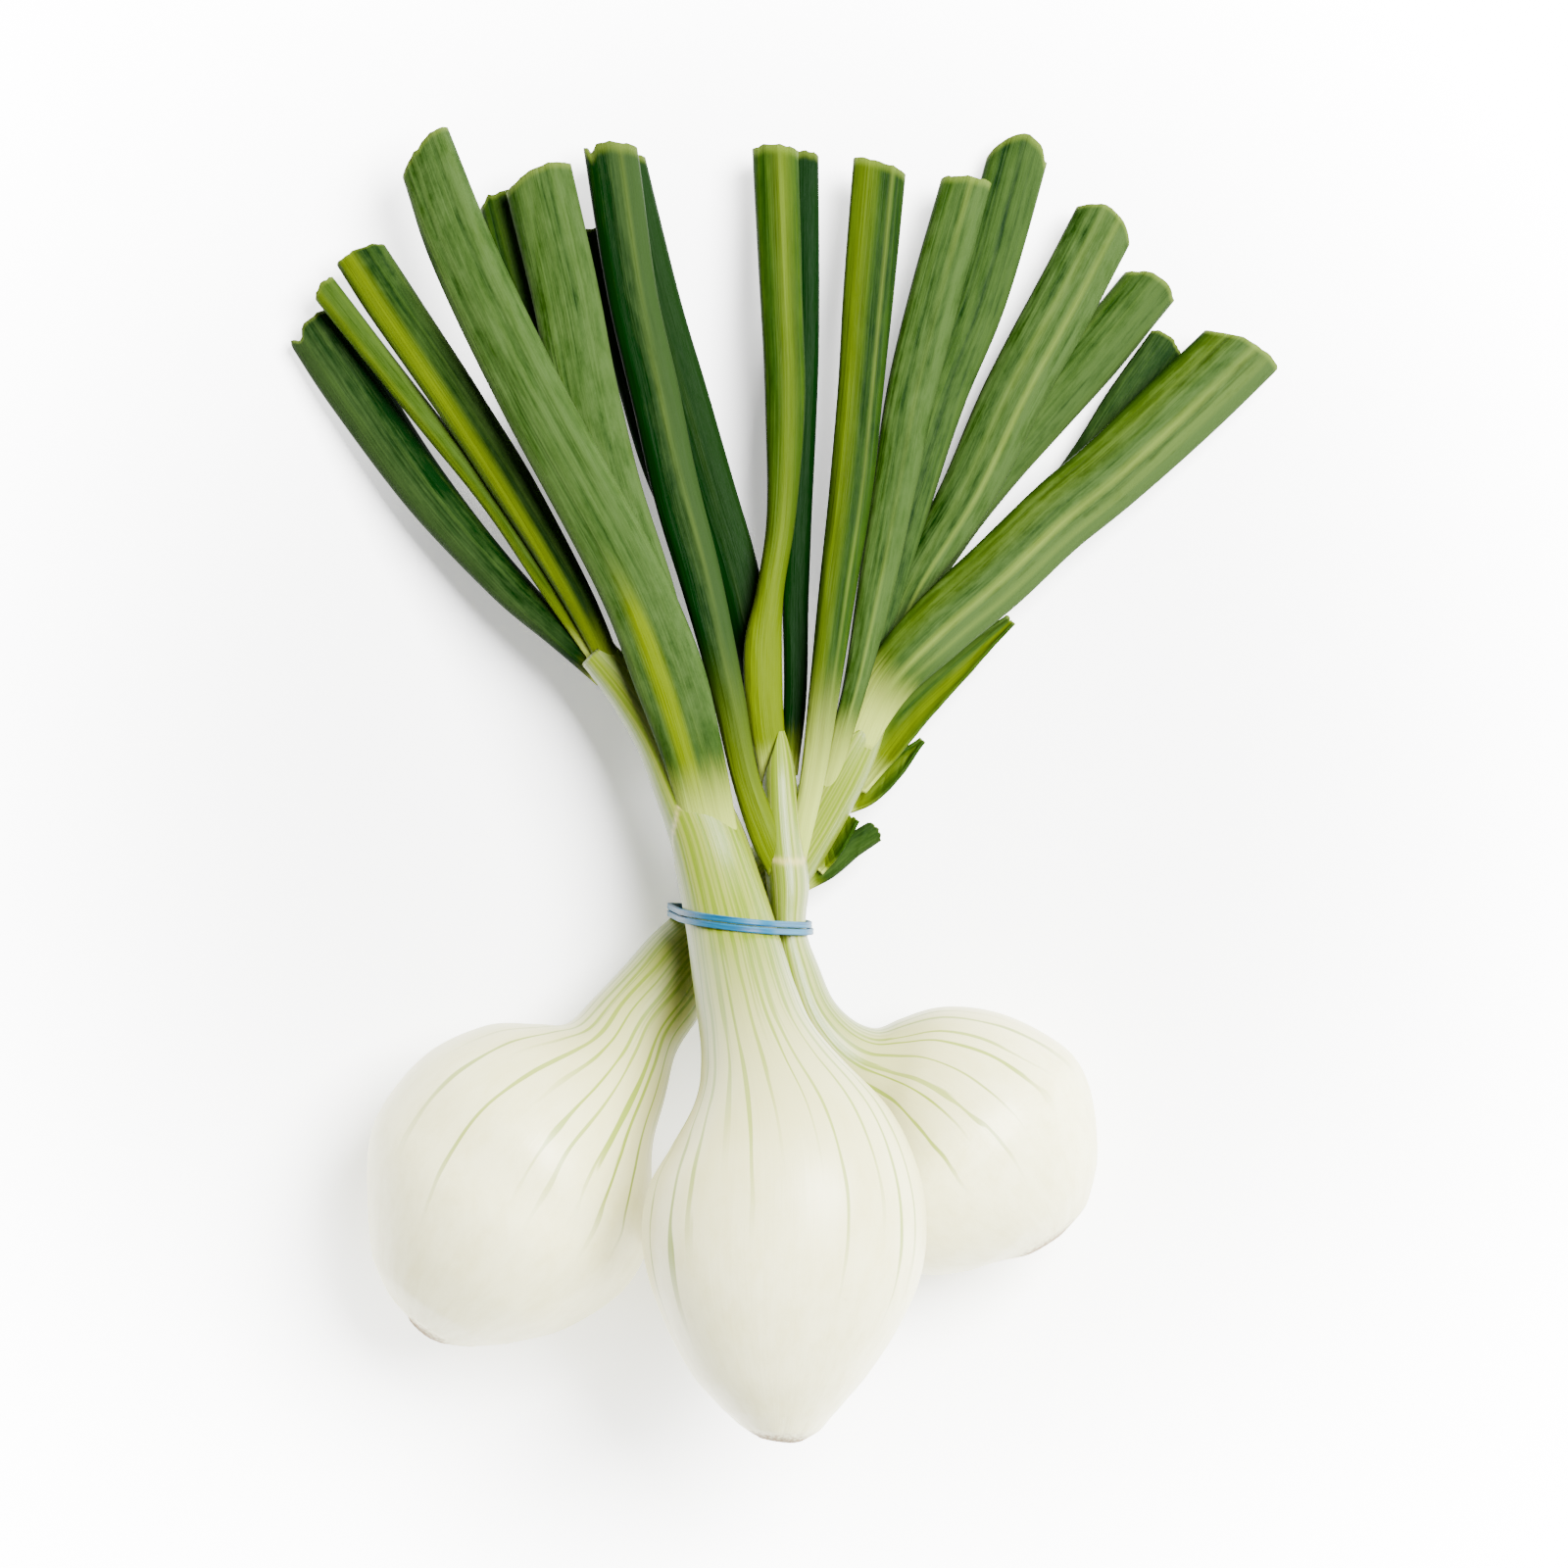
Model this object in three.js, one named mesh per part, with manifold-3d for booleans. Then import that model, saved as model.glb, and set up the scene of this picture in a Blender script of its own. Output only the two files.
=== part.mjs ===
// A bunch of three spring onions with round white bulbs, laid flat and tied at the necks with a rubber band.
// Millimetres, +Z up. The bunch lies on z = 0 with its bulbs towards -Y and its cut leaf tips towards +Y.
import * as THREE from "three";
import { mergeVertices } from "three/addons/utils/BufferGeometryUtils.js";
import Module from "manifold-3d";

const wasm = await Module();
wasm.setup();

const MIDDLE = [-0.235, 2.325]; // the middle of the bunch's bounding box in the numbers below
const CLEARANCE = 0.3; // between a leaf and the sheath that it stands in
const LEAF_WALL = 0.9; // a leaf is a hollow tube with a soft, thin wall
const BULB_SIDES = 22;
const BULB_RINGS = 26;
const LEAF_SIDES = 10;
const LEAF_RINGS = 9;
const LOOK_AROUND = 0.05; // how far along its route a section looks each way for the route's direction

// Each bulb and its neck as [x, y, z, half width, half depth] of the sections from the root plate up to the
// mouth of the neck. The left and right bulbs lie on the surface, and the front one lies on top of them.
const BULBS = {
  front: [
    [-1.4, -130.3, 62.6, 3.6, 3.4],
    [-1.3, -129.6, 62.6, 5.2, 4.8],
    [-1.0, -127.6, 62.7, 8.3, 7.6],
    [-0.8, -124.0, 62.9, 11.8, 10.7],
    [-0.9, -117.5, 63.0, 17.6, 15.7],
    [-0.7, -108.5, 63.1, 23.1, 20.5],
    [-0.2, -98.5, 63.2, 27.4, 24.1],
    [0.1, -89.0, 63.0, 28.9, 25.3],
    [0.3, -79.0, 62.2, 27.6, 24.4],
    [-0.4, -69.0, 60.6, 22.8, 20.3],
    [-2.8, -59.5, 57.6, 15.6, 14.2],
    [-5.2, -52.0, 53.2, 12.0, 11.0],
    [-7.4, -44.0, 46.8, 10.6, 9.6],
    [-9.2, -36.5, 40.6, 9.9, 8.4],
    [-11.0, -28.5, 35.2, 9.2, 7.5],
    [-13.2, -20.0, 31.8, 8.5, 6.9],
    [-16.2, -10.0, 29.4, 7.8, 6.4],
    [-20.6, 0.0, 27.6, 6.8, 5.9],
    [-25.4, 10.0, 26.2, 5.9, 5.3],
    [-32.0, 19.5, 24.8, 5.0, 4.7],
    [-38.5, 27.0, 23.8, 4.3, 4.1],
  ],
  left: [
    [-74.2, -111.6, 25.6, 3.6, 3.4],
    [-73.7, -111.0, 25.7, 5.4, 5.0],
    [-72.3, -109.4, 25.9, 10.6, 9.8],
    [-70.2, -105.6, 26.3, 16.8, 15.4],
    [-65.2, -98.2, 26.8, 24.6, 22.4],
    [-59.2, -89.2, 26.6, 30.4, 27.4],
    [-55.0, -80.6, 26.7, 31.6, 27.9],
    [-49.8, -72.2, 26.6, 29.4, 27.0],
    [-43.6, -65.6, 26.6, 23.9, 21.6],
    [-38.7, -61.0, 25.8, 17.2, 15.8],
    [-34.5, -56.4, 24.2, 12.8, 11.8],
    [-30.8, -49.8, 21.8, 10.5, 9.6],
    [-25.6, -43.2, 18.8, 9.6, 8.5],
    [-20.8, -37.0, 16.4, 9.0, 7.8],
    [-15.0, -31.4, 14.6, 8.5, 7.2],
    [-8.0, -25.0, 13.2, 8.0, 6.8],
    [-1.4, -17.8, 12.8, 7.4, 6.4],
    [4.8, -9.0, 14.4, 6.8, 6.0],
    [10.6, 1.0, 17.0, 6.4, 5.6],
    [15.8, 10.0, 18.8, 5.9, 5.2],
    [19.6, 16.6, 19.6, 5.0, 4.6],
  ],
  right: [
    [54.0, -94.1, 24.4, 3.6, 3.4],
    [53.7, -93.6, 24.4, 5.8, 5.3],
    [52.5, -91.8, 24.6, 11.6, 10.6],
    [50.6, -88.7, 24.8, 17.9, 16.2],
    [46.6, -84.6, 24.9, 24.1, 21.3],
    [41.9, -79.3, 24.2, 27.9, 24.9],
    [37.3, -74.0, 24.2, 29.3, 25.5],
    [32.8, -68.8, 24.5, 27.3, 24.7],
    [28.4, -64.6, 25.6, 23.6, 21.2],
    [23.6, -61.4, 26.2, 18.2, 16.8],
    [18.8, -59.4, 27.0, 12.6, 12.2],
    [14.4, -57.2, 27.8, 9.0, 9.6],
    [9.8, -53.2, 28.4, 7.0, 8.4],
    [5.6, -46.8, 28.8, 5.4, 8.0],
    [2.8, -38.6, 28.2, 4.6, 7.8],
    [0.9, -30.0, 27.6, 3.7, 7.6],
    [0.8, -21.0, 27.4, 4.4, 7.4],
    [-0.2, -11.0, 27.0, 4.4, 6.6],
    [-0.9, 0.0, 25.8, 3.8, 5.6],
    [-1.2, 9.0, 24.8, 3.5, 4.8],
    [-1.3, 15.0, 24.2, 3.1, 4.2],
  ],
};

// Each leaf grows out of the neck that it is listed under: its middle line from the root to the cut end, its
// half widths and half depths spaced evenly along that line, how far the middle of the cut end stands out
// (crown) and how far its right side does (slant).
const LEAVES = {
  front: {
    top: {
      route: [[-13, -17, 32.5], [-18, 4, 33.2], [-23.4, 22, 34.4], [-31, 41, 33.6], [-52.2, 80.5, 27.5], [-66.8, 111, 21.5], [-73.9, 130, 17.5]],
      wide: [5, 6.2, 7.4, 7.2, 7.1, 6.9, 6.2],
      deep: [1.8, 2.4, 3, 3, 2.9, 2.7, 2.5],
      crown: 2,
      slant: 3.4,
    },
    middle: {
      route: [[-17, -4, 25], [-20.4, 13, 25.6], [-27.6, 35, 25.4], [-36, 60, 22], [-41, 80, 18.8], [-45, 100.5, 15.6], [-50.8, 125.2, 12]],
      wide: [3.2, 4, 6.4, 7, 7.1, 7.2, 7.3],
      deep: [1.6, 2.2, 2.8, 2.9, 2.9, 2.8, 2.7],
      crown: 2,
      slant: 1.6,
    },
    under: {
      route: [[-18, -2, 21], [-22, 15, 17.8], [-31, 42, 15], [-40.5, 61, 12.8], [-48.8, 85, 10], [-54, 103, 7.8], [-58.8, 121.8, 5.6]],
      wide: [2.6, 3.6, 4.6, 5, 5.2, 5.2, 5],
      deep: [1.6, 2.2, 2.5, 2.6, 2.6, 2.5, 2.4],
      crown: 1,
      slant: 1,
    },
    outer: {
      route: [[-36, 22, 22], [-45.6, 30.5, 20], [-56, 40, 15.6], [-73.6, 60, 9.6], [-88.4, 80.8, 5.2], [-98.2, 95.4, 3]],
      wide: [3, 3.2, 4, 5.4, 6.2, 6.2],
      deep: [2, 2.4, 2.7, 2.9, 3, 3],
      crown: 1.2,
      slant: 0.8,
    },
    slim: {
      route: [[-37, 24, 24], [-48.4, 40.6, 21.4], [-60.4, 58.4, 16.8], [-70.2, 70.8, 14], [-81.8, 85.4, 11.4], [-95.4, 102.8, 9.4]],
      wide: [1.8, 2.1, 2.2, 2.4, 2.7, 2.9],
      deep: [1.5, 1.6, 1.7, 1.7, 1.7, 1.6],
      crown: 1,
      slant: 0.8,
    },
    bright: {
      route: [[-34, 21, 26], [-41.6, 37, 24.8], [-55, 60, 19.4], [-68.2, 80.4, 15.2], [-81.9, 100.6, 11.6], [-87.8, 109.7, 10.4]],
      wide: [2.2, 3.2, 4.4, 5, 5.5, 5.4],
      deep: [1.8, 2.1, 2.4, 2.6, 2.6, 2.5],
      crown: 1,
      slant: -0.8,
    },
  },
  right: {
    long: {
      route: [[-0.2, -19, 30.5], [-3.6, -11, 31.4], [-7.8, 1, 30.2], [-11.8, 20, 27], [-16.6, 40, 24], [-22.2, 60.4, 21], [-26.6, 80.6, 18.2], [-31.2, 100.6, 15.4], [-36, 131.8, 11.2]],
      wide: [2.6, 3.2, 2.9, 3.5, 4.4, 5, 5.1, 5.2, 5.6],
      deep: [1.4, 1.9, 2.2, 2.4, 2.6, 2.7, 2.7, 2.6, 2.5],
      crown: 0.8,
      slant: -0.8,
    },
    shaded: {
      route: [[-2, 1, 21.4], [-4.6, 20, 18.6], [-9.8, 44, 16], [-14.8, 60.4, 13.8], [-20.6, 80.6, 11], [-26.6, 101, 8.4], [-33.4, 130, 5.4]],
      wide: [2.2, 3.4, 4.6, 4.9, 5, 5, 4.6],
      deep: [1.6, 2.2, 2.5, 2.6, 2.6, 2.5, 2.4],
      crown: 0.6,
      slant: -0.6,
    },
    hidden: {
      route: [[-3, -3, 19.6], [-9.4, 20, 14.4], [-16, 42, 11.6], [-25.6, 64, 9.8], [-31, 82, 8], [-35.6, 101, 6], [-39, 115, 4.8]],
      wide: [1.8, 2.2, 2.8, 3.2, 3.4, 3.4, 3.2],
      deep: [1.4, 1.6, 1.8, 1.9, 2, 2, 1.9],
      crown: 0.6,
      slant: -0.6,
    },
    centre: {
      route: [[-1.8, 0, 24.8], [-3.8, 14, 25], [-4.3, 28, 24.6], [-2.8, 40, 23], [-0.7, 54, 20.8], [0.2, 80, 17.2], [-0.6, 101, 14.2], [-1.8, 131.4, 10]],
      wide: [2.8, 3.8, 4, 2.9, 3, 4.2, 4.5, 4.9],
      deep: [1.8, 2.4, 2.8, 2.8, 2.7, 2.7, 2.6, 2.5],
      crown: 0.8,
      slant: -0.4,
    },
    dark: {
      route: [[1, 1, 21.6], [2.3, 18, 19.2], [2.4, 40, 16.4], [3.2, 60, 13.4], [4.2, 81, 10.8], [4.6, 101, 8.6], [4.6, 131, 5.6]],
      wide: [1.8, 2.4, 2.8, 2.8, 2.8, 2.8, 2.7],
      deep: [1.5, 1.9, 2.1, 2.1, 2.1, 2, 2],
      crown: 0.5,
      slant: -0.3,
    },
    upright: {
      route: [[2.2, -17, 28.4], [5.8, 1, 27.6], [8.4, 20, 26], [11, 40, 23.8], [13.7, 60, 21.4], [15.7, 80.4, 18.4], [17.4, 101, 15.6], [19.8, 128, 12]],
      wide: [2, 2.6, 3.2, 3.9, 4.6, 4.8, 5.3, 5.6],
      deep: [1.5, 2, 2.3, 2.5, 2.7, 2.7, 2.6, 2.5],
      crown: 0.4,
      slant: -1.2,
    },
  },
  left: {
    inner: {
      route: [[8.4, -4, 19.4], [11.6, 9, 22.6], [14.8, 21, 22.8], [18.8, 40, 21.2], [22.6, 60.4, 18.8], [26.2, 80.6, 16], [31.2, 101, 13.4], [37.8, 125, 10.4]],
      wide: [1.8, 2.2, 2.6, 3.8, 4.6, 5.2, 5.4, 5.2],
      deep: [1.4, 1.9, 2.2, 2.5, 2.7, 2.7, 2.6, 2.5],
      crown: 0.6,
      slant: 0.9,
    },
    tall: {
      route: [[11, 1, 17], [16, 21, 17], [21, 40, 15.2], [26.6, 60.4, 12.8], [33, 80.8, 10], [40.6, 101.4, 7.4], [48.6, 130.2, 4.2]],
      wide: [2, 3, 3.8, 4.6, 5.1, 5.9, 6.4],
      deep: [1.6, 2.2, 2.6, 2.7, 2.7, 2.6, 2.6],
      crown: 5.2,
      slant: 1.2,
    },
    striped: {
      route: [[14, 7, 16], [18.4, 20, 11.8], [26.2, 40, 11], [38, 60.4, 11.4], [47.6, 80.8, 11], [58.5, 101, 9.8], [66.2, 115.8, 8.8]],
      wide: [2, 2.8, 3.8, 5.8, 6.6, 6.9, 6.8],
      deep: [1.6, 2.2, 2.6, 2.9, 3, 2.9, 2.8],
      crown: 3.8,
      slant: -0.8,
    },
    low: {
      route: [[12, 4, 13.4], [17.4, 19, 6.6], [25.2, 36, 5], [33.4, 50, 4.6], [42.6, 63.4, 4.3], [54.2, 77.6, 3.9], [65.4, 90.6, 3.4], [76.2, 103.7, 3.2]],
      wide: [2, 2.6, 3.4, 4.2, 5, 5.7, 6.1, 6],
      deep: [1.6, 2, 2.4, 2.6, 2.8, 3, 3.1, 3.2],
      crown: 2.7,
      slant: 1,
    },
    tucked: {
      route: [[14, 6, 13.2], [22, 23, 11.6], [35.6, 39, 9.6], [53.2, 54.4, 7.2], [63.4, 67.4, 6], [71.2, 79.6, 5], [79.6, 91.6, 4.4]],
      wide: [1.8, 2.6, 3.4, 4, 4.3, 4.4, 4.2],
      deep: [1.4, 1.8, 2.1, 2.2, 2.3, 2.3, 2.2],
      crown: 1.6,
      slant: -0.6,
    },
    broad: {
      route: [[15, 7, 20.6], [21.4, 21, 20.4], [31, 31.6, 19.2], [44, 43.2, 17.2], [56.6, 55.2, 15], [67, 63.8, 13.6], [83, 78.6, 11.4], [94.8, 90, 10.2]],
      wide: [3, 5.4, 6.8, 7.5, 7.7, 8, 8.3, 8.2],
      deep: [2, 2.8, 3.1, 3.2, 3.2, 3.2, 3.1, 3],
      crown: 2.2,
      slant: 2.8,
    },
    split: {
      route: [[14, 0, 16.4], [19.4, 7.6, 15.6], [25.6, 15.2, 14.8], [35.6, 24.4, 13.6], [47, 34, 12]],
      wide: [3, 4, 4.2, 2.8, 0.7],
      deep: [1.4, 1.5, 1.4, 1.1, 0.7],
      crown: 0,
      slant: 0,
      solid: true,
    },
    shred: {
      route: [[11, -5, 14.4], [17, -2, 13.2], [23, 3.6, 12.4], [28.6, 9, 11.4]],
      wide: [2, 2.6, 2.4, 0.8],
      deep: [1.2, 1.2, 1, 0.7],
      crown: 0,
      slant: 0,
      solid: true,
    },
    stump: {
      route: [[6.4, -17.6, 13.6], [9.6, -13, 14.4], [13.6, -7, 15]],
      wide: [2, 2.8, 2.2],
      deep: [1.2, 1.3, 1.2],
      crown: 0.4,
      slant: 0.4,
      solid: true,
    },
    stub: {
      route: [[3.4, -21, 12], [9, -17.4, 12.2], [14, -13, 12.6], [18.8, -9.8, 12.8]],
      wide: [1.8, 2.4, 2.5, 2.4],
      deep: [1.2, 1.6, 1.8, 1.7],
      crown: 0.8,
      slant: 0,
    },
  },
};

// The rubber band is one loop wound twice round the necks, in the slanting plane y = level + lean x + tip z.
const BAND = {
  level: -28.15,
  lean: -0.11,
  tip: -0.025,
  wide: 1.3,
  thick: 0.85,
  apart: 1.5,
  gap: 0.25,
  steps: 44,
};

const COLOURS = {
  bulb: { color: 0xece9dc, roughness: 0.42, metalness: 0 },
  leaf: { color: 0x5c8238, roughness: 0.5, metalness: 0 },
  band: { color: 0x62aed2, roughness: 0.45, metalness: 0 },
};

const UP = new THREE.Vector3(0, 0, 1);

// A value read smoothly at t = 0 to 1 from a list of evenly spaced ones.
function along(values, t) {
  const line = new THREE.SplineCurve(values.map((v, i) => new THREE.Vector2(i, v)));
  return line.getPoint(t).y;
}

// The level sideways direction and the upward one across a route at t.
function across(route, t) {
  const before = route.getPoint(Math.max(t - LOOK_AROUND, 0));
  const ahead = route.getPoint(Math.min(t + LOOK_AROUND, 1)).sub(before).normalize();
  const side = new THREE.Vector3().crossVectors(ahead, UP).normalize();
  return { ahead, side, up: new THREE.Vector3().crossVectors(side, ahead) };
}

// An elliptical section across a route at t, kept above the surface that the bunch lies on.
// reach(s) moves a point along the route by its place s, -1 to 1, from the left edge to the right one.
function section(route, t, halfWide, halfDeep, sides, reach = () => 0) {
  const centre = route.getPoint(t);
  const { ahead, side, up } = across(route, t);
  return Array.from({ length: sides }, (_, i) => {
    const turn = (2 * Math.PI * (i + 0.5)) / sides;
    const p = centre
      .clone()
      .addScaledVector(side, halfWide * Math.cos(turn))
      .addScaledVector(up, -halfDeep * Math.sin(turn))
      .addScaledVector(ahead, reach(Math.cos(turn)));
    p.z = Math.max(p.z, 0);
    return p;
  });
}

// One closed skin over a row of sections. A row that joins up with itself is a loop and needs no end caps.
function skin(rings, loop = false) {
  const sides = rings[0].length;
  const points = rings.flat();
  const index = [];
  const strips = loop ? rings.length : rings.length - 1;
  for (let r = 0; r < strips; r++)
    for (let i = 0; i < sides; i++) {
      const j = (i + 1) % sides;
      const low = r * sides;
      const high = ((r + 1) % rings.length) * sides;
      index.push(low + i, low + j, high + j, low + i, high + j, high + i);
    }
  if (!loop)
    for (const [ring, flip] of [[0, true], [rings.length - 1, false]]) {
      const middle = points.length;
      points.push(
        rings[ring].reduce((sum, p) => sum.add(p), new THREE.Vector3()).divideScalar(sides),
      );
      for (let i = 0; i < sides; i++) {
        const edge = [ring * sides + i, ring * sides + ((i + 1) % sides)];
        index.push(middle, ...(flip ? edge.reverse() : edge));
      }
    }
  return new THREE.BufferGeometry().setFromPoints(points).setIndex(index);
}

function solidOf(geometry) {
  const merged = mergeVertices(geometry, 1e-4);
  return new wasm.Manifold(
    new wasm.Mesh({
      numProp: 3,
      vertProperties: new Float32Array(merged.attributes.position.array),
      triVerts: new Uint32Array(merged.index.array),
    }),
  );
}

function geometryOf(solid) {
  const mesh = solid.getMesh();
  const position = new THREE.BufferAttribute(new Float32Array(mesh.vertProperties), 3);
  return new THREE.BufferGeometry()
    .setAttribute("position", position)
    .setIndex(new THREE.BufferAttribute(new Uint32Array(mesh.triVerts), 1));
}

// The largest body of a solid: cutting can leave loose scraps.
function largest(solid) {
  return solid.decompose().reduce((a, b) => (b.volume() > a.volume() ? b : a));
}

function routeThrough(points) {
  return new THREE.CatmullRomCurve3(points.map(([x, y, z]) => new THREE.Vector3(x, y, z)));
}

function bulbRings(stations) {
  const route = routeThrough(stations);
  const wide = stations.map((s) => s[3]);
  const deep = stations.map((s) => s[4]);
  return Array.from({ length: BULB_RINGS }, (_, k) => {
    const t = k / (BULB_RINGS - 1);
    return section(route, t, along(wide, t), along(deep, t), BULB_SIDES);
  });
}

// A leaf is a tube that is solid at its root and hollow to its cut end. grow thickens it, to cut its socket.
function leafSolid(leaf, grow = 0) {
  const route = routeThrough(leaf.route);
  const ring = (t, inset) => {
    const late = THREE.MathUtils.smoothstep(t, 0.7, 1);
    const beyond = grow * (2 * t - 1);
    const reach = (s) => beyond + late * (leaf.crown * (1 - s * s) + leaf.slant * s);
    const halfWide = along(leaf.wide, t) + grow - inset;
    const halfDeep = along(leaf.deep, t) + grow - inset;
    return section(route, t, Math.max(halfWide, 0.3), Math.max(halfDeep, 0.3), LEAF_SIDES, reach);
  };
  const steps = Array.from({ length: LEAF_RINGS }, (_, k) => k / (LEAF_RINGS - 1));
  const rings = steps.map((t) => ring(t, 0));
  if (!grow && !leaf.solid)
    rings.push(...steps.filter((t) => t > 0.4).reverse().map((t) => ring(t, LEAF_WALL)));
  return solidOf(skin(rings));
}

// Where the necks' skins cross a plane that is shift in front of the band's, as points seen along -Y.
function crossings(rings, shift) {
  const above = (p) => p.y - shift - BAND.level - BAND.lean * p.x - BAND.tip * p.z;
  const found = [];
  rings.slice(1).forEach((ring, r) =>
    ring.forEach((p, i) => {
      const q = rings[r][i];
      if (above(p) * above(q) > 0) return;
      const hit = q.clone().lerp(p, above(q) / (above(q) - above(p)));
      found.push(new THREE.Vector2(hit.x, hit.z));
    }),
  );
  return found;
}

// The convex outline round a set of points, anticlockwise.
function hullOf(points) {
  const sorted = [...points].sort((a, b) => a.x - b.x || a.y - b.y);
  const half = (list) => {
    const kept = [];
    for (const p of list) {
      while (kept.length > 1) {
        const [a, b] = kept.slice(-2);
        if ((b.x - a.x) * (p.y - a.y) - (b.y - a.y) * (p.x - a.x) > 0) break;
        kept.pop();
      }
      kept.push(p);
    }
    return kept.slice(0, -1);
  };
  return [...half(sorted), ...half(sorted.reverse())];
}

// The band's middle line goes round twice. Its two turns lie side by side, and one steps over the other underneath.
function bandSolid(necks) {
  const reach = (BAND.apart + BAND.wide) / 2;
  const hull = hullOf(necks.flatMap((rings) => [-reach, 0, reach].flatMap((shift) => crossings(rings, shift))));
  const corners = hull.flatMap((p, i) => {
    const q = hull[(i + 1) % hull.length];
    const parts = Math.max(1, Math.round(p.distanceTo(q) / 2));
    return Array.from({ length: parts }, (_, k) => p.clone().lerp(q, k / parts));
  });
  const outline = new THREE.CatmullRomCurve3(
    corners.map((p) => new THREE.Vector3(p.x, 0, p.y)), true, "centripetal",
  );
  outline.arcLengthDivisions = 400;
  const rings = [];
  for (let k = 0; k < 2 * BAND.steps; k++) {
    const turns = k / BAND.steps;
    const flat = outline.getPointAt((turns + 0.75) % 1);
    const heading = outline.getTangentAt((turns + 0.75) % 1);
    const out = new THREE.Vector3(heading.z, 0, -heading.x);
    const swap = Math.cos(Math.PI * turns);
    const step = (1 - THREE.MathUtils.smoothstep(Math.abs(turns - 0.5), 0.1, 0.22)) * (BAND.thick + 0.25);
    const off = BAND.gap + BAND.thick / 2 + step;
    const centre = flat.addScaledVector(out, off);
    centre.y = BAND.level + BAND.lean * centre.x + BAND.tip * centre.z;
    centre.y += ((BAND.apart / 2) * swap) / Math.sqrt(swap * swap + 0.02 * (1 - swap * swap));
    rings.push(
      Array.from({ length: 8 }, (_, i) => {
        const turn = (2 * Math.PI * (i + 0.5)) / 8;
        return centre
          .clone()
          .addScaledVector(out, (BAND.thick / 2) * Math.cos(turn) * 1.05)
          .add(new THREE.Vector3(0, (BAND.wide / 2) * Math.sin(turn) * 1.05, 0));
      }),
    );
  }
  return solidOf(skin(rings, true));
}

const bunch = new THREE.Group();

function place(name, solid, colour) {
  const geometry = geometryOf(solid).translate(-MIDDLE[0], -MIDDLE[1], 0);
  const mesh = new THREE.Mesh(geometry, new THREE.MeshStandardMaterial(COLOURS[colour]));
  mesh.name = name;
  bunch.add(mesh);
}

const necks = [];
for (const [onion, stations] of Object.entries(BULBS)) {
  const rings = bulbRings(stations);
  necks.push(rings);
  let bulb = solidOf(skin(rings));
  const sockets = [];
  for (const [leafName, leaf] of Object.entries(LEAVES[onion])) {
    let blade = leafSolid(leaf);
    for (const socket of sockets) blade = blade.subtract(socket);
    place(`leaf_${onion}_${leafName}`, largest(blade), "leaf");
    sockets.push(leafSolid(leaf, CLEARANCE));
  }
  for (const socket of sockets) bulb = bulb.subtract(socket);
  place(`bulb_${onion}`, largest(bulb), "bulb");
}
place("rubber_band", bandSolid(necks), "band");

export default bunch;
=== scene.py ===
import math
import random

import bpy
import numpy as np
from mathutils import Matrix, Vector


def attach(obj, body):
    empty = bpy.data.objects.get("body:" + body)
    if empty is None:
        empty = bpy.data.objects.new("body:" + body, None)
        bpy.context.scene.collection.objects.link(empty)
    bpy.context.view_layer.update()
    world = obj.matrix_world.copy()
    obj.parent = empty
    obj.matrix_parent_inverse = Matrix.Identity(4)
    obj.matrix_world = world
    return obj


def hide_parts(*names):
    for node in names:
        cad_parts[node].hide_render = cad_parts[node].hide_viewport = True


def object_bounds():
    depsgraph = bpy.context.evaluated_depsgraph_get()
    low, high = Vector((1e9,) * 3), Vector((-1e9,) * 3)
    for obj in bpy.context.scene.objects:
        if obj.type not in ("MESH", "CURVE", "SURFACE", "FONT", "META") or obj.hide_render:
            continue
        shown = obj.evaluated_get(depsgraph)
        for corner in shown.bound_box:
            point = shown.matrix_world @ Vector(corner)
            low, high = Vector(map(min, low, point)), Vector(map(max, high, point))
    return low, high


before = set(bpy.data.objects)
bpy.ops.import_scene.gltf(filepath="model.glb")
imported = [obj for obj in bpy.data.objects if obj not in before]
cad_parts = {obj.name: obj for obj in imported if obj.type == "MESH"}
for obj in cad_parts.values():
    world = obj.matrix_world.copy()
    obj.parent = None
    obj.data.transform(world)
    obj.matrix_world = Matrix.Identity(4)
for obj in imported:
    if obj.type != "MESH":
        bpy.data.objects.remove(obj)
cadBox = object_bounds()
print("frame loaded")

# Lengths below are in millimetres, in the numbers that the solids were drawn in. toFrame makes them metres.
drawing = {
    "middle": (-0.235, 2.325, 0.0),  # the bunch's middle on the drawing
    "metres": 0.001,
    "lookAround": 0.05,  # how far back and ahead the heading of a route is read
    "joined": 0.004,  # points nearer than this become one
    "floorGap": 0.02,
}


def toFrame(points):
    return (np.asarray(points) - np.array(drawing["middle"])) * drawing["metres"]


def smooth(low, high, x):
    f = np.clip((x - low) / (high - low), 0, 1)
    return f * f * (3 - 2 * f)


def along(values, t):  # read smoothly from a list of evenly spaced values
    v = np.array(values, float)
    last = len(v) - 1
    p = np.clip(t, 0, 1) * last
    i = np.minimum(p.astype(int), last - 1)
    w = p - i
    a, b, c, d = v[np.maximum(i - 1, 0)], v[i], v[i + 1], v[np.minimum(i + 2, last)]
    s0, s1 = (c - a) / 2, (d - b) / 2
    return b + s0 * w + (-3 * b + 3 * c - 2 * s0 - s1) * w**2 + (2 * b - 2 * c + s0 + s1) * w**3


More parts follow.
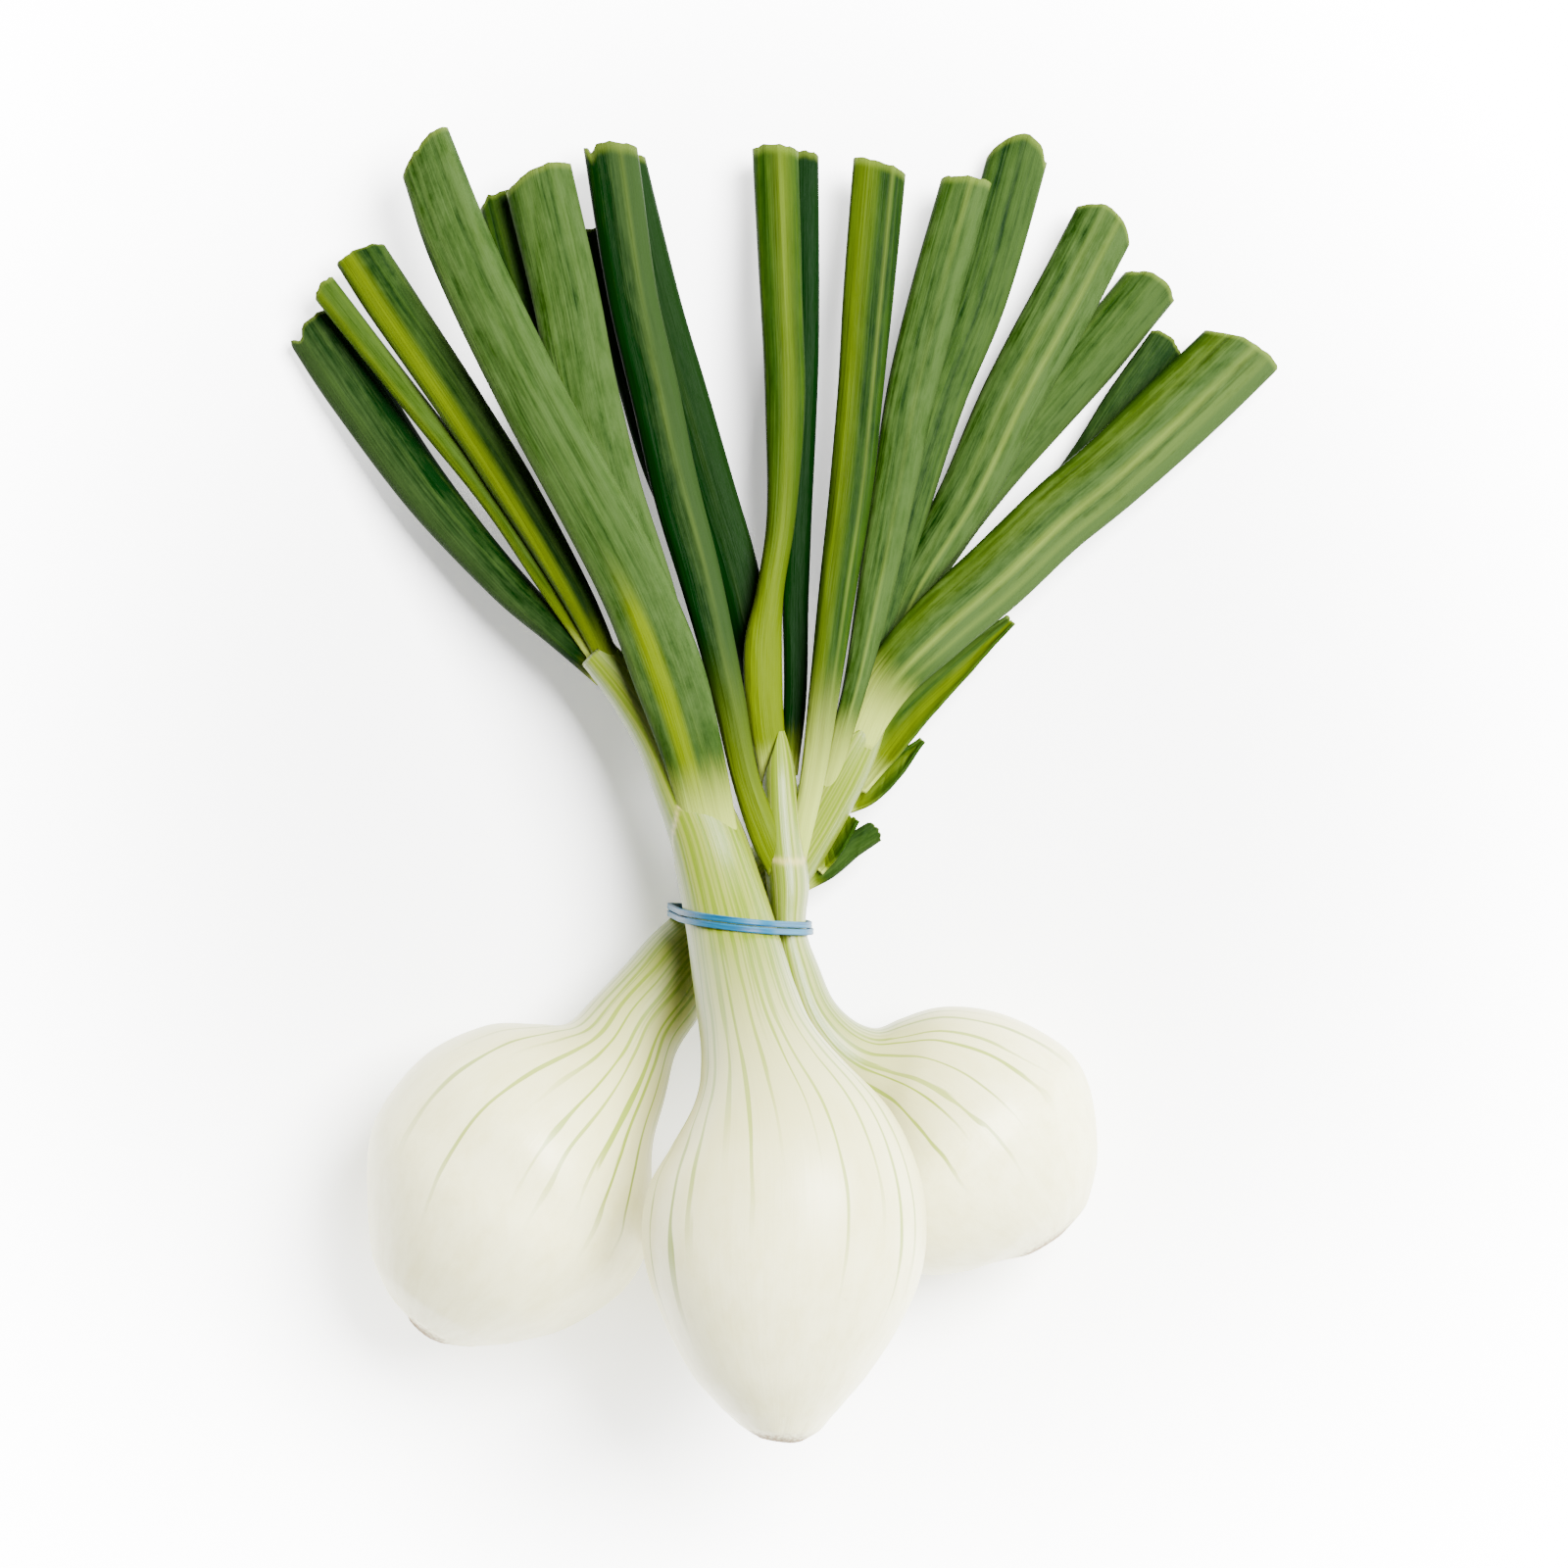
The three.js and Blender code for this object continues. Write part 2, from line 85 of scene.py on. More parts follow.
def pointOn(route, t):  # a centripetal Catmull-Rom line through the route's points
    p = np.array(route, float)
    p = np.vstack([2 * p[0] - p[1], p, 2 * p[-1] - p[-2]])
    last = len(route) - 1
    place = np.clip(t, 0, 1) * last
    i = np.minimum(place.astype(int), last - 1)
    w = (place - i)[:, None]
    a, b, c, d = p[i], p[i + 1], p[i + 2], p[i + 3]
    g0, g1, g2 = (np.sqrt(np.linalg.norm(q, axis=1))[:, None] for q in (b - a, c - b, d - c))
    s0 = ((b - a) / g0 - (c - a) / (g0 + g1) + (c - b) / g1) * g1
    s1 = ((c - b) / g1 - (d - b) / (g1 + g2) + (d - c) / g2) * g1
    return b + s0 * w + (-3 * b + 3 * c - 2 * s0 - s1) * w**2 + (2 * b - 2 * c + s0 + s1) * w**3


def frameOn(route, t):  # the way ahead, the level way to the right and the way up, at each t
    look = drawing["lookAround"]
    ahead = pointOn(route, np.minimum(t + look, 1)) - pointOn(route, np.maximum(t - look, 0))
    ahead /= np.linalg.norm(ahead, axis=1)[:, None]
    side = np.cross(ahead, (0, 0, 1))
    side /= np.linalg.norm(side, axis=1)[:, None]
    return ahead, side, np.cross(side, ahead)


def lengthOf(route, steps=80):
    line = pointOn(route, np.linspace(0, 1, steps))
    return np.linalg.norm(np.diff(line, axis=0), axis=1).sum()


def ripple(key, x, count=4, most=1.6):  # a few sine waves with random phases, about -1 to 1
    draw = random.Random(key)
    waves = [((k + 1) * draw.uniform(0.8, 1.2), draw.uniform(0, 6.28)) for k in range(count)]
    return sum(np.sin(f * x + phase) / (k + 1) for k, (f, phase) in enumerate(waves)) / most


def startPiece(name, columns, rows):  # a flat grid to be rolled up, and the places of its points, 0 to 1
    bpy.ops.object.select_all(action="DESELECT")
    bpy.ops.mesh.primitive_grid_add(x_subdivisions=columns, y_subdivisions=rows, size=2)
    piece = bpy.context.object
    piece.name = piece.data.name = name
    flat = np.empty(3 * len(piece.data.vertices))
    piece.data.vertices.foreach_get("co", flat)
    flat = (flat.reshape(-1, 3) + 1) / 2
    return piece, flat[:, 0], flat[:, 1]


def layPoints(piece, points, marks):  # puts the points in place and keeps what the materials read
    piece.data.vertices.foreach_set("co", np.clip(toFrame(points), *cadBox).ravel())
    for key, values in marks.items():
        layer = piece.data.attributes.new(key, "FLOAT", "POINT")
        layer.data.foreach_set("value", np.broadcast_to(values, len(points)).astype(float))
    bpy.ops.object.mode_set(mode="EDIT")
    bpy.ops.mesh.select_all(action="SELECT")
    bpy.ops.mesh.remove_doubles(threshold=drawing["joined"] * drawing["metres"])
    bpy.ops.mesh.normals_make_consistent(inside=False)
    bpy.ops.object.mode_set(mode="OBJECT")
    bpy.ops.object.shade_smooth()


def giveWall(piece, thickness, lining=0):  # a wall inwards from the skin, lined with the next material
    wall = piece.modifiers.new("wall", "SOLIDIFY")
    wall.thickness = thickness * drawing["metres"]
    wall.offset = -1
    wall.material_offset = wall.material_offset_rim = lining
    bpy.ops.object.modifier_apply(modifier=wall.name)


def finishPiece(piece, node, slot, *materials):
    for material in materials:
        piece.data.materials.append(material)
    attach(piece, "root")
    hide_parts(node)


# Materials


def newMaterial(name, **settings):
    material = bpy.data.materials.new(name)
    material.use_nodes = True
    shader = material.node_tree.nodes["Principled BSDF"]
    for socket, value in settings.items():
        shader.inputs[socket.replace("_", " ")].default_value = value
    return material, material.node_tree, shader


def tint(code):  # a screen colour such as "e8e4d0" as light
    parts = [int(code[k : k + 2], 16) / 255 for k in (0, 2, 4)]
    return [c / 12.92 if c < 0.04 else ((c + 0.055) / 1.055) ** 2.4 for c in parts] + [1]


def fill(tree, socket, value):
    if isinstance(value, bpy.types.NodeSocket):
        tree.links.new(value, socket)
    else:
        socket.default_value = value


def calc(tree, operation, *values, clamp=False):
    node = tree.nodes.new("ShaderNodeMath")
    node.operation = operation
    node.use_clamp = clamp
    for socket, value in zip(node.inputs, values):
        fill(tree, socket, value)
    return node.outputs[0]


def ramp(tree, x, low, high):  # 0 at low to 1 at high, eased
    node = tree.nodes.new("ShaderNodeMapRange")
    node.interpolation_type = "SMOOTHSTEP"
    for name, value in (("Value", x), ("From Min", low), ("From Max", high)):
        fill(tree, node.inputs[name], value)
    return node.outputs["Result"]


def blend(tree, amount, under, over):
    node = tree.nodes.new("ShaderNodeMix")
    node.data_type = "RGBA"
    fill(tree, node.inputs["Factor"], amount)
    for name, value in (("A", under), ("B", over)):
        fill(tree, [s for s in node.inputs if s.name == name and s.type == "RGBA"][0], value)
    return [s for s in node.outputs if s.type == "RGBA"][0]


def mark(tree, name):
    node = tree.nodes.new("ShaderNodeAttribute")
    node.attribute_name = name
    return node.outputs["Fac"]


def vector(tree, x, y, z=0.0):
    node = tree.nodes.new("ShaderNodeCombineXYZ")
    for socket, value in zip(node.inputs, (x, y, z)):
        fill(tree, socket, value)
    return node.outputs[0]


def noise(tree, place, scale, detail=3.0, roughness=0.5):
    node = tree.nodes.new("ShaderNodeTexNoise")
    fill(tree, node.inputs["Vector"], place)
    node.inputs["Scale"].default_value = scale
    node.inputs["Detail"].default_value = detail
    node.inputs["Roughness"].default_value = roughness
    return node.outputs["Fac"]


def emboss(tree, shader, height, distance, strength=1.0):
    node = tree.nodes.new("ShaderNodeBump")
    node.inputs["Distance"].default_value = distance
    node.inputs["Strength"].default_value = strength
    fill(tree, node.inputs["Height"], height)
    tree.links.new(node.outputs[0], shader.inputs["Normal"])


def newGroup(name, inputs, outputs):
    tree = bpy.data.node_groups.new(name, "ShaderNodeTree")
    for socket in inputs:
        tree.interface.new_socket(socket, in_out="INPUT", socket_type="NodeSocketFloat")
    for socket in outputs:
        tree.interface.new_socket(socket, in_out="OUTPUT", socket_type="NodeSocketFloat")
    start = tree.nodes.new("NodeGroupInput")
    end = tree.nodes.new("NodeGroupOutput")
    return tree, start.outputs, end.inputs


def placeGroup(tree, group, **values):
    node = tree.nodes.new("ShaderNodeGroup")
    node.node_tree = group
    for name, value in values.items():
        fill(tree, node.inputs[name], value)
    return node.outputs


veinBuild = {
    "wander": 0.9,  # how far a vein strays, in parts of its space
    "wanderAround": 9.0,
    "wanderScale": 5.0,
    "draws": {"place": 0.37, "start": 11.71, "strength": 23.13},
    "place": (0.5, 0.25),  # where in its space a vein lies: spread and least
    "core": 0.6,  # how much of its width is solid
    "growIn": 0.12,
    "strength": (0.25, 0.75),  # spread and least
}


def makeVeinGroup():  # thin lines along the plant, each with its own place, strength and start
    inputs = ("around", "reach", "count", "width", "start", "spread")
    tree, given, out = newGroup("veins", inputs, ("lines",))
    b = veinBuild
    slanted = vector(tree, calc(tree, "MULTIPLY", given["around"], b["wanderAround"]), given["reach"])
    wander = noise(tree, slanted, b["wanderScale"], 2.0)
    place = calc(tree, "MULTIPLY", given["around"], given["count"])
    stray = calc(tree, "MULTIPLY", calc(tree, "SUBTRACT", wander, 0.5), b["wander"])
    place = calc(tree, "ADD", place, stray)
    cell = calc(tree, "FLOOR", place)
    draws = {}
    for name, shift in b["draws"].items():
        dice = tree.nodes.new("ShaderNodeTexWhiteNoise")
        dice.noise_dimensions = "1D"
        fill(tree, dice.inputs["W"], calc(tree, "ADD", cell, shift))
        draws[name] = dice.outputs["Value"]
    middle = calc(tree, "MULTIPLY_ADD", draws["place"], *b["place"])
    off = calc(tree, "ABSOLUTE", calc(tree, "SUBTRACT", calc(tree, "FRACT", place), middle))
    core = calc(tree, "MULTIPLY", given["width"], b["core"])
    line = calc(tree, "SUBTRACT", 1.0, ramp(tree, off, core, given["width"]))
    begin = calc(tree, "MULTIPLY_ADD", draws["start"], given["spread"], given["start"])
    grown = ramp(tree, given["reach"], begin, calc(tree, "ADD", begin, b["growIn"]))
    strength = calc(tree, "MULTIPLY_ADD", draws["strength"], *b["strength"])
    fill(tree, out["lines"], calc(tree, "MULTIPLY", calc(tree, "MULTIPLY", line, grown), strength))
    return tree


fibreSizes = {  # how often each changes per mm across and along, its detail and its roughness
    "fine": (2.6, 0.035, 4.0, 0.6),
    "broad": (0.62, 0.01, 2.0, 0.5),
    "patch": (0.55, 0.13, 5.0, 0.7),
}


def makeFibreGroup():  # fine fibres along the plant, broader ribs, and patches where the wax is rubbed off
    tree, given, out = newGroup("fibres", ("acrossMm", "alongMm", "seed"), ("fine", "broad", "patch"))
    for name, (across, long, detail, roughness) in fibreSizes.items():
        x = calc(tree, "MULTIPLY", given["acrossMm"], across)
        y = calc(tree, "MULTIPLY", given["alongMm"], long)
        fill(tree, out[name], noise(tree, vector(tree, x, y, given["seed"]), 1.0, detail, roughness))
    return tree


veinGroup = makeVeinGroup()
fibreGroup = makeFibreGroup()

# Onion skin

skin = {
    "white": "e0ddb0",
    "cream": "d4cf9a",
    # the colour of the painted shade towards the neck
    "neckwardShadeColour": "aca870",
    "neck": "646e1c",
    "green": "566808",
    "vein": "6c8000",
    "darkVein": "506200",
    "edge": "a89a5c",
    "root": "8a6f40",
    "rootDark": "4f3b1e",
    "gloss": 0.3,
    "glow": 0.03,  # light that goes through the skin
    "glowReach": (1.0, 0.95, 0.6),
    "mmAround": 60.0,
    "mmUp": 160.0,
    "patches": (0.35, 0.75),
    "neckwardShade": (0.22, 0.5),  # where up the bulb its white darkens towards the neck, as painted shade
    "neckwardShadeMost": 0.88,
    "greening": (0.4, 0.66),  # where the neck's green begins and is full
    "ribbed": (0.3, 0.72),
    "veins": 27.0,
    "veinWidth": 2.8,
    "veinThin": 6.0,  # keeps the veins thin where the neck is narrow
    "veinSpread": 0.2,
    "veinDepth": -0.3,
    "smallVeins": 50.0,
    "smallWidth": 1.8,
    "smallStart": 0.42,
    "smallShift": 0.43,
    "smallFaint": (0.55, 0.2),  # how much more they show on the neck, and on the bulb
    "edgeMost": 0.6,
    "speckAround": 46.0,
    "speckUp": 90.0,
    "rough": (0.4, 0.34),
    "relief": 0.00012,  # metres
}


def makeSkin():
    s = skin
    material, tree, shader = newMaterial(
        "onionSkin", Specular_IOR_Level=s["gloss"], Subsurface_Weight=s["glow"], Subsurface_Scale=0.001,
    )
    shader.inputs["Subsurface Radius"].default_value = s["glowReach"]
    uv = tree.nodes.new("ShaderNodeSeparateXYZ")
    tree.links.new(tree.nodes.new("ShaderNodeUVMap").outputs[0], uv.inputs[0])
    around = calc(tree, "ADD", uv.outputs[0], mark(tree, "seed"))
    reach = mark(tree, "reach")
    radius = mark(tree, "radius")
    main = placeGroup(
        tree, veinGroup, around=around, reach=reach, count=s["veins"], spread=s["veinSpread"],
        start=mark(tree, "veinStart"),
        width=calc(tree, "DIVIDE", s["veinWidth"], calc(tree, "ADD", radius, s["veinThin"])),
    )
    small = placeGroup(
        tree, veinGroup, around=calc(tree, "ADD", around, s["smallShift"]), reach=reach,
        count=s["smallVeins"], spread=s["veinSpread"], start=s["smallStart"],
        width=calc(tree, "DIVIDE", s["smallWidth"], radius),
    )
    fibre = placeGroup(
        tree, fibreGroup, acrossMm=calc(tree, "MULTIPLY", around, s["mmAround"]),
        alongMm=calc(tree, "MULTIPLY", reach, s["mmUp"]), seed=mark(tree, "seed"),
    )
    upper = calc(tree, "MULTIPLY", ramp(tree, reach, *s["greening"]), mark(tree, "neck"))
    colour = blend(tree, ramp(tree, fibre["patch"], *s["patches"]), tint(s["white"]), tint(s["cream"]))
    # Painted shade: the bulb's white darkens towards the neck, for the shade on its upper side.
    neckwardShade = calc(tree, "MULTIPLY", ramp(tree, reach, *s["neckwardShade"]), s["neckwardShadeMost"])
    colour = blend(tree, neckwardShade, colour, tint(s["neckwardShadeColour"]))
    streaky = calc(tree, "MULTIPLY", upper, calc(tree, "MULTIPLY_ADD", fibre["broad"], 0.1, 0.9))
    colour = blend(tree, streaky, colour, tint(s["neck"]))
    green = calc(tree, "MULTIPLY", mark(tree, "green"), ramp(tree, fibre["broad"], *s["ribbed"]))
    colour = blend(tree, green, colour, tint(s["green"]))
    lines = calc(tree, "MULTIPLY", main["lines"], calc(tree, "MAXIMUM", upper, mark(tree, "veins")))
    colour = blend(tree, lines, colour, blend(tree, upper, tint(s["vein"]), tint(s["darkVein"])))
    fine = calc(tree, "MULTIPLY", small["lines"], calc(tree, "MULTIPLY_ADD", upper, *s["smallFaint"]))
    colour = blend(tree, fine, colour, tint(s["darkVein"]))
    edge = calc(tree, "MULTIPLY", mark(tree, "edge"), s["edgeMost"])
    colour = blend(tree, edge, colour, tint(s["edge"]))
    speckX = calc(tree, "MULTIPLY", around, s["speckAround"])
    speckY = calc(tree, "MULTIPLY", reach, s["speckUp"])
    speck = noise(tree, vector(tree, speckX, speckY), 1.0)
    rootColour = blend(tree, ramp(tree, speck, 0.35, 0.65), tint(s["rootDark"]), tint(s["root"]))
    ragged = calc(tree, "MULTIPLY", calc(tree, "SUBTRACT", speck, 0.5), 1.6)
    plate = ramp(tree, calc(tree, "ADD", mark(tree, "plate"), ragged), 0.3, 1.0)
    fill(tree, shader.inputs["Base Color"], blend(tree, plate, colour, rootColour))
    fill(tree, shader.inputs["Roughness"], calc(tree, "MULTIPLY_ADD", mark(tree, "plate"), *s["rough"]))
    grooves = calc(tree, "MULTIPLY", main["lines"], s["veinDepth"])
    emboss(tree, shader, calc(tree, "ADD", fibre["fine"], grooves), s["relief"], 0.5)
    return material


# Bulbs with their necks

bulbs = {  # x, y, z, half width and half depth of each section, from the root plate to the mouth
    "front": [
        [-1.4, -130.3, 62.6, 3.6, 3.4],
        [-1.3, -129.6, 62.6, 5.2, 4.8],
        [-1.0, -127.6, 62.7, 8.3, 7.6],
        [-0.8, -124.0, 62.9, 11.8, 10.7],
        [-0.9, -117.5, 63.0, 17.6, 15.7],
        [-0.7, -108.5, 63.1, 23.1, 20.5],
        [-0.2, -98.5, 63.2, 27.4, 24.1],
        [0.1, -89.0, 63.0, 28.9, 25.3],
        [0.3, -79.0, 62.2, 27.6, 24.4],
        [-0.4, -69.0, 60.6, 22.8, 20.3],
        [-2.8, -59.5, 57.6, 15.6, 14.2],
        [-5.2, -52.0, 53.2, 12.0, 11.0],
        [-7.4, -44.0, 46.8, 10.6, 9.6],
        [-9.2, -36.5, 40.6, 9.9, 8.4],
        [-11.0, -28.5, 35.2, 9.2, 7.5],
        [-13.2, -20.0, 31.8, 8.5, 6.9],
        [-16.2, -10.0, 29.4, 7.8, 6.4],
        [-20.6, 0.0, 27.6, 6.8, 5.9],
        [-25.4, 10.0, 26.2, 5.9, 5.3],
        [-32.0, 19.5, 24.8, 5.0, 4.7],
        [-38.5, 27.0, 23.8, 4.3, 4.1],
    ],
    "left": [
        [-74.2, -111.6, 25.6, 3.6, 3.4],
        [-73.7, -111.0, 25.7, 5.4, 5.0],
        [-72.3, -109.4, 25.9, 10.6, 9.8],
        [-70.2, -105.6, 26.3, 16.8, 15.4],
        [-65.2, -98.2, 26.8, 24.6, 22.4],
        [-59.2, -89.2, 26.6, 30.4, 27.4],
        [-55.0, -80.6, 26.7, 31.6, 27.9],
        [-49.8, -72.2, 26.6, 29.4, 27.0],
        [-43.6, -65.6, 26.6, 23.9, 21.6],
        [-38.7, -61.0, 25.8, 17.2, 15.8],
        [-34.5, -56.4, 24.2, 12.8, 11.8],
        [-30.8, -49.8, 21.8, 10.5, 9.6],
        [-25.6, -43.2, 18.8, 9.6, 8.5],
        [-20.8, -37.0, 16.4, 9.0, 7.8],
        [-15.0, -31.4, 14.6, 8.5, 7.2],
        [-8.0, -25.0, 13.2, 8.0, 6.8],
        [-1.4, -17.8, 12.8, 7.4, 6.4],
        [4.8, -9.0, 14.4, 6.8, 6.0],
        [10.6, 1.0, 17.0, 6.4, 5.6],
        [15.8, 10.0, 18.8, 5.9, 5.2],
        [19.6, 16.6, 19.6, 5.0, 4.6],
    ],
    "right": [
        [54.0, -94.1, 24.4, 3.6, 3.4],
        [53.7, -93.6, 24.4, 5.8, 5.3],
        [52.5, -91.8, 24.6, 11.6, 10.6],
        [50.6, -88.7, 24.8, 17.9, 16.2],
        [46.6, -84.6, 24.9, 24.1, 21.3],
        [41.9, -79.3, 24.2, 27.9, 24.9],
        [37.3, -74.0, 24.2, 29.3, 25.5],
        [32.8, -68.8, 24.5, 27.3, 24.7],
        [28.4, -64.6, 25.6, 23.6, 21.2],
        [23.6, -61.4, 26.2, 18.2, 16.8],
        [18.8, -59.4, 27.0, 12.6, 12.2],
        [14.4, -57.2, 27.8, 9.0, 9.6],
        [9.8, -53.2, 28.4, 7.0, 8.4],
        [5.6, -46.8, 28.8, 5.4, 8.0],
        [2.8, -38.6, 28.2, 4.6, 7.8],
        [0.9, -30.0, 27.6, 3.7, 7.6],
        [0.8, -21.0, 27.4, 4.4, 7.4],
        [-0.2, -11.0, 27.0, 4.4, 6.6],
        [-0.9, 0.0, 25.8, 3.8, 5.6],
        [-1.2, 9.0, 24.8, 3.5, 4.8],
        [-1.3, 15.0, 24.2, 3.1, 4.2],
    ],
}

# How each bulb looks: where up the bulb its veins begin, how strong they are, how green its neck is, the
# edges of its outer sheaths as [where round it in degrees from its top, how far up, how much it slants,
# step], and its mouth as [the side that stands highest, how much is cut away opposite, how much narrower].
bulbLooks = {
    "front": {
        "seed": 3,
        "veinStart": 0.22,
        "veins": 0.85,
        "neck": 1.0,
        "green": 0.6,
        "sheaths": [[150, 0.8, 0.1, 0.3]],
        "mouth": [0, 0, 0],
    },
    "left": {
        "seed": 7,
        "veinStart": 0.2,
        "veins": 1.0,
        "neck": 0.95,
        "green": 0.6,
        "sheaths": [[-120, 0.8, 0.08, 0.3]],
        "mouth": [-60, 0.12, 0.3],
    },
    "right": {
        "seed": 12,
        "veinStart": 0.18,
        "veins": 0.9,
        "neck": 0.8,
        "green": 1.0,
        "sheaths": [[10, 0.83, 0.012, 0.25]],
        "mouth": [-80, 0.1, 0.7],
    },
}
bulbBuild = {
    "columns": 112,
    "rows": 230,
    "outer": 0.93,  # the rows up to here are the outside, the others go down into the mouth
    "lip": 0.55,  # how thick the skin is at the mouth
    "lipDeep": 0.06,
    "lipTurn": 0.012,
    "shrink": 0.992,  # keeps the skin just inside the solid
    "uneven": 0.006,
    "tight": 0.012,
    "folds": 15,  # small folds round the root plate
    "foldDeep": 0.05,
    "foldEnd": (0.02, 0.16),
    "sheathUneven": 0.004,
    "sheathEdge": 0.003,
    "dish": 0.9,  # how deep the root plate is hollow
    "poleEnd": 0.006,
    "mouthEnd": 0.004,
    "plateEnd": (0.03, 0.125),
}


def bulbPoints(name, u, v):
    stations = bulbs[name]
    look = bulbLooks[name]
    b = bulbBuild
    outer = b["outer"]
    t = np.where(v < outer, v / outer, 1 - b["lipDeep"] * (v - outer) / (1 - outer))
    inside = smooth(outer, outer + b["lipTurn"], v)
    turn = 2 * np.pi * u - np.pi / 2
    highest, cut, narrow = look["mouth"]
    t = t * (1 - cut * (1 - np.cos(turn - np.pi / 2 - math.radians(highest))) / 2 * smooth(0.55, 1, t))
    route = [s[:3] for s in stations]
    ahead, side, up = frameOn(route, t)
    wide = along([s[3] for s in stations], t) * b["shrink"]
    deep = along([s[4] for s in stations], t) * b["shrink"]
    swell = 1 + b["uneven"] * ripple(name, 3 * t + np.cos(turn)) * smooth(0.05, 0.3, t)
    swell = swell * (1 - narrow * smooth(0.9, 1, t))
    folds = b["foldDeep"] * np.sin(b["folds"] * turn + 3 * ripple(name + "fold", turn * 0))
    folds = folds * (1 - smooth(*b["foldEnd"], t))
    swell = swell - b["tight"] - folds * 0.5 - np.abs(folds) * 0.6
    drop = inside * b["lip"]
    edge = 0 * t
    for degrees, height, slant, step in look["sheaths"]:
        away = 1 - np.cos(turn - np.pi / 2 - math.radians(degrees))
        limit = height + slant * (away / 2 - 0.5)
        limit = limit + b["sheathUneven"] * ripple(name + str(degrees), 3 * turn)
        drop = drop + step * smooth(limit - 0.0015, limit + 0.0025, t)
        edge = np.maximum(edge, np.exp(-(((t - limit) / b["sheathEdge"]) ** 2)))
    closing = np.sqrt(np.clip(v / b["poleEnd"], 0, 1)) * np.clip((1 - v) / b["mouthEnd"], 0, 1) ** 0.5
    x = (wide * swell - drop) * closing * np.cos(turn)
    z = (deep * swell - drop) * closing * np.sin(turn)
    points = pointOn(route, t) + side * x[:, None] + up * z[:, None]
    points += ahead * (b["dish"] * (1 - smooth(0, b["poleEnd"], v)))[:, None]
    points[:, 2] = np.maximum(points[:, 2], drawing["floorGap"])
    marks = {
        "reach": t,
        "radius": (wide + deep) / 2,
        "seed": float(look["seed"]),
        "veinStart": look["veinStart"],
        "veins": look["veins"],
        "neck": look["neck"],
        "green": look["green"] * smooth(0.5, 0.95, t),
        "edge": edge * (1 - inside),
        "plate": 1 - smooth(*b["plateEnd"], v),
    }
    return points, marks


def makeBulb(name, material):
    piece, u, v = startPiece("onion_" + name, bulbBuild["columns"], bulbBuild["rows"])
    points, marks = bulbPoints(name, u, v)
    layPoints(piece, points, marks)
    finishPiece(piece, "bulb_" + name, "onion_skin", material)
    return points.reshape(bulbBuild["rows"] + 1, -1, 3)


skinMaterial = makeSkin()
bulbRows = {name: makeBulb(name, skinMaterial) for name in bulbs}
print("bulbs made")

# Leaves

leafSkin = {
    "deep": "001400",
    "mid": "122600",
    "light": "283a02",
    # pale grey-green of the wax bloom, partly a painted sheen
    "waxAndSheen": "2e3e1e",
    "lime": "424f00",
    "pale": "828e3c",
    "rim": "62722a",
    "lining": "2c4204",
    "gloss": 0.015,
    "liningGloss": 0.1,
    "toneSway": {"fine": 0.65, "broad": 1.25, "patch": 0.7},
    "waxAndSheenSway": {"patch": 2.2, "fine": 0.9, "broad": 1.2},
    "waxAndSheenSides": (0.9, 0.6),  # how much it changes across a leaf, and its middle
    "waxAndSheenStart": (0.08, 0.3),
    "stripeCore": 0.05,
    "stripeFade": 0.7,
    "stripeRibs": (0.9, 0.35),
    "fadeStreaks": 0.09,
    "limeFade": (0.25, 0.7, 0.55),  # where it begins to fade, how streaky it is, and its least
    "paleFade": (0.15, 0.9, 0.5),
    "creaseAndHighlightMost": 0.5,
    "rimMost": 0.35,
    "rimFrom": 0.988,
    "rough": (0.25, 0.4),
    "relief": 0.0004,  # metres
}


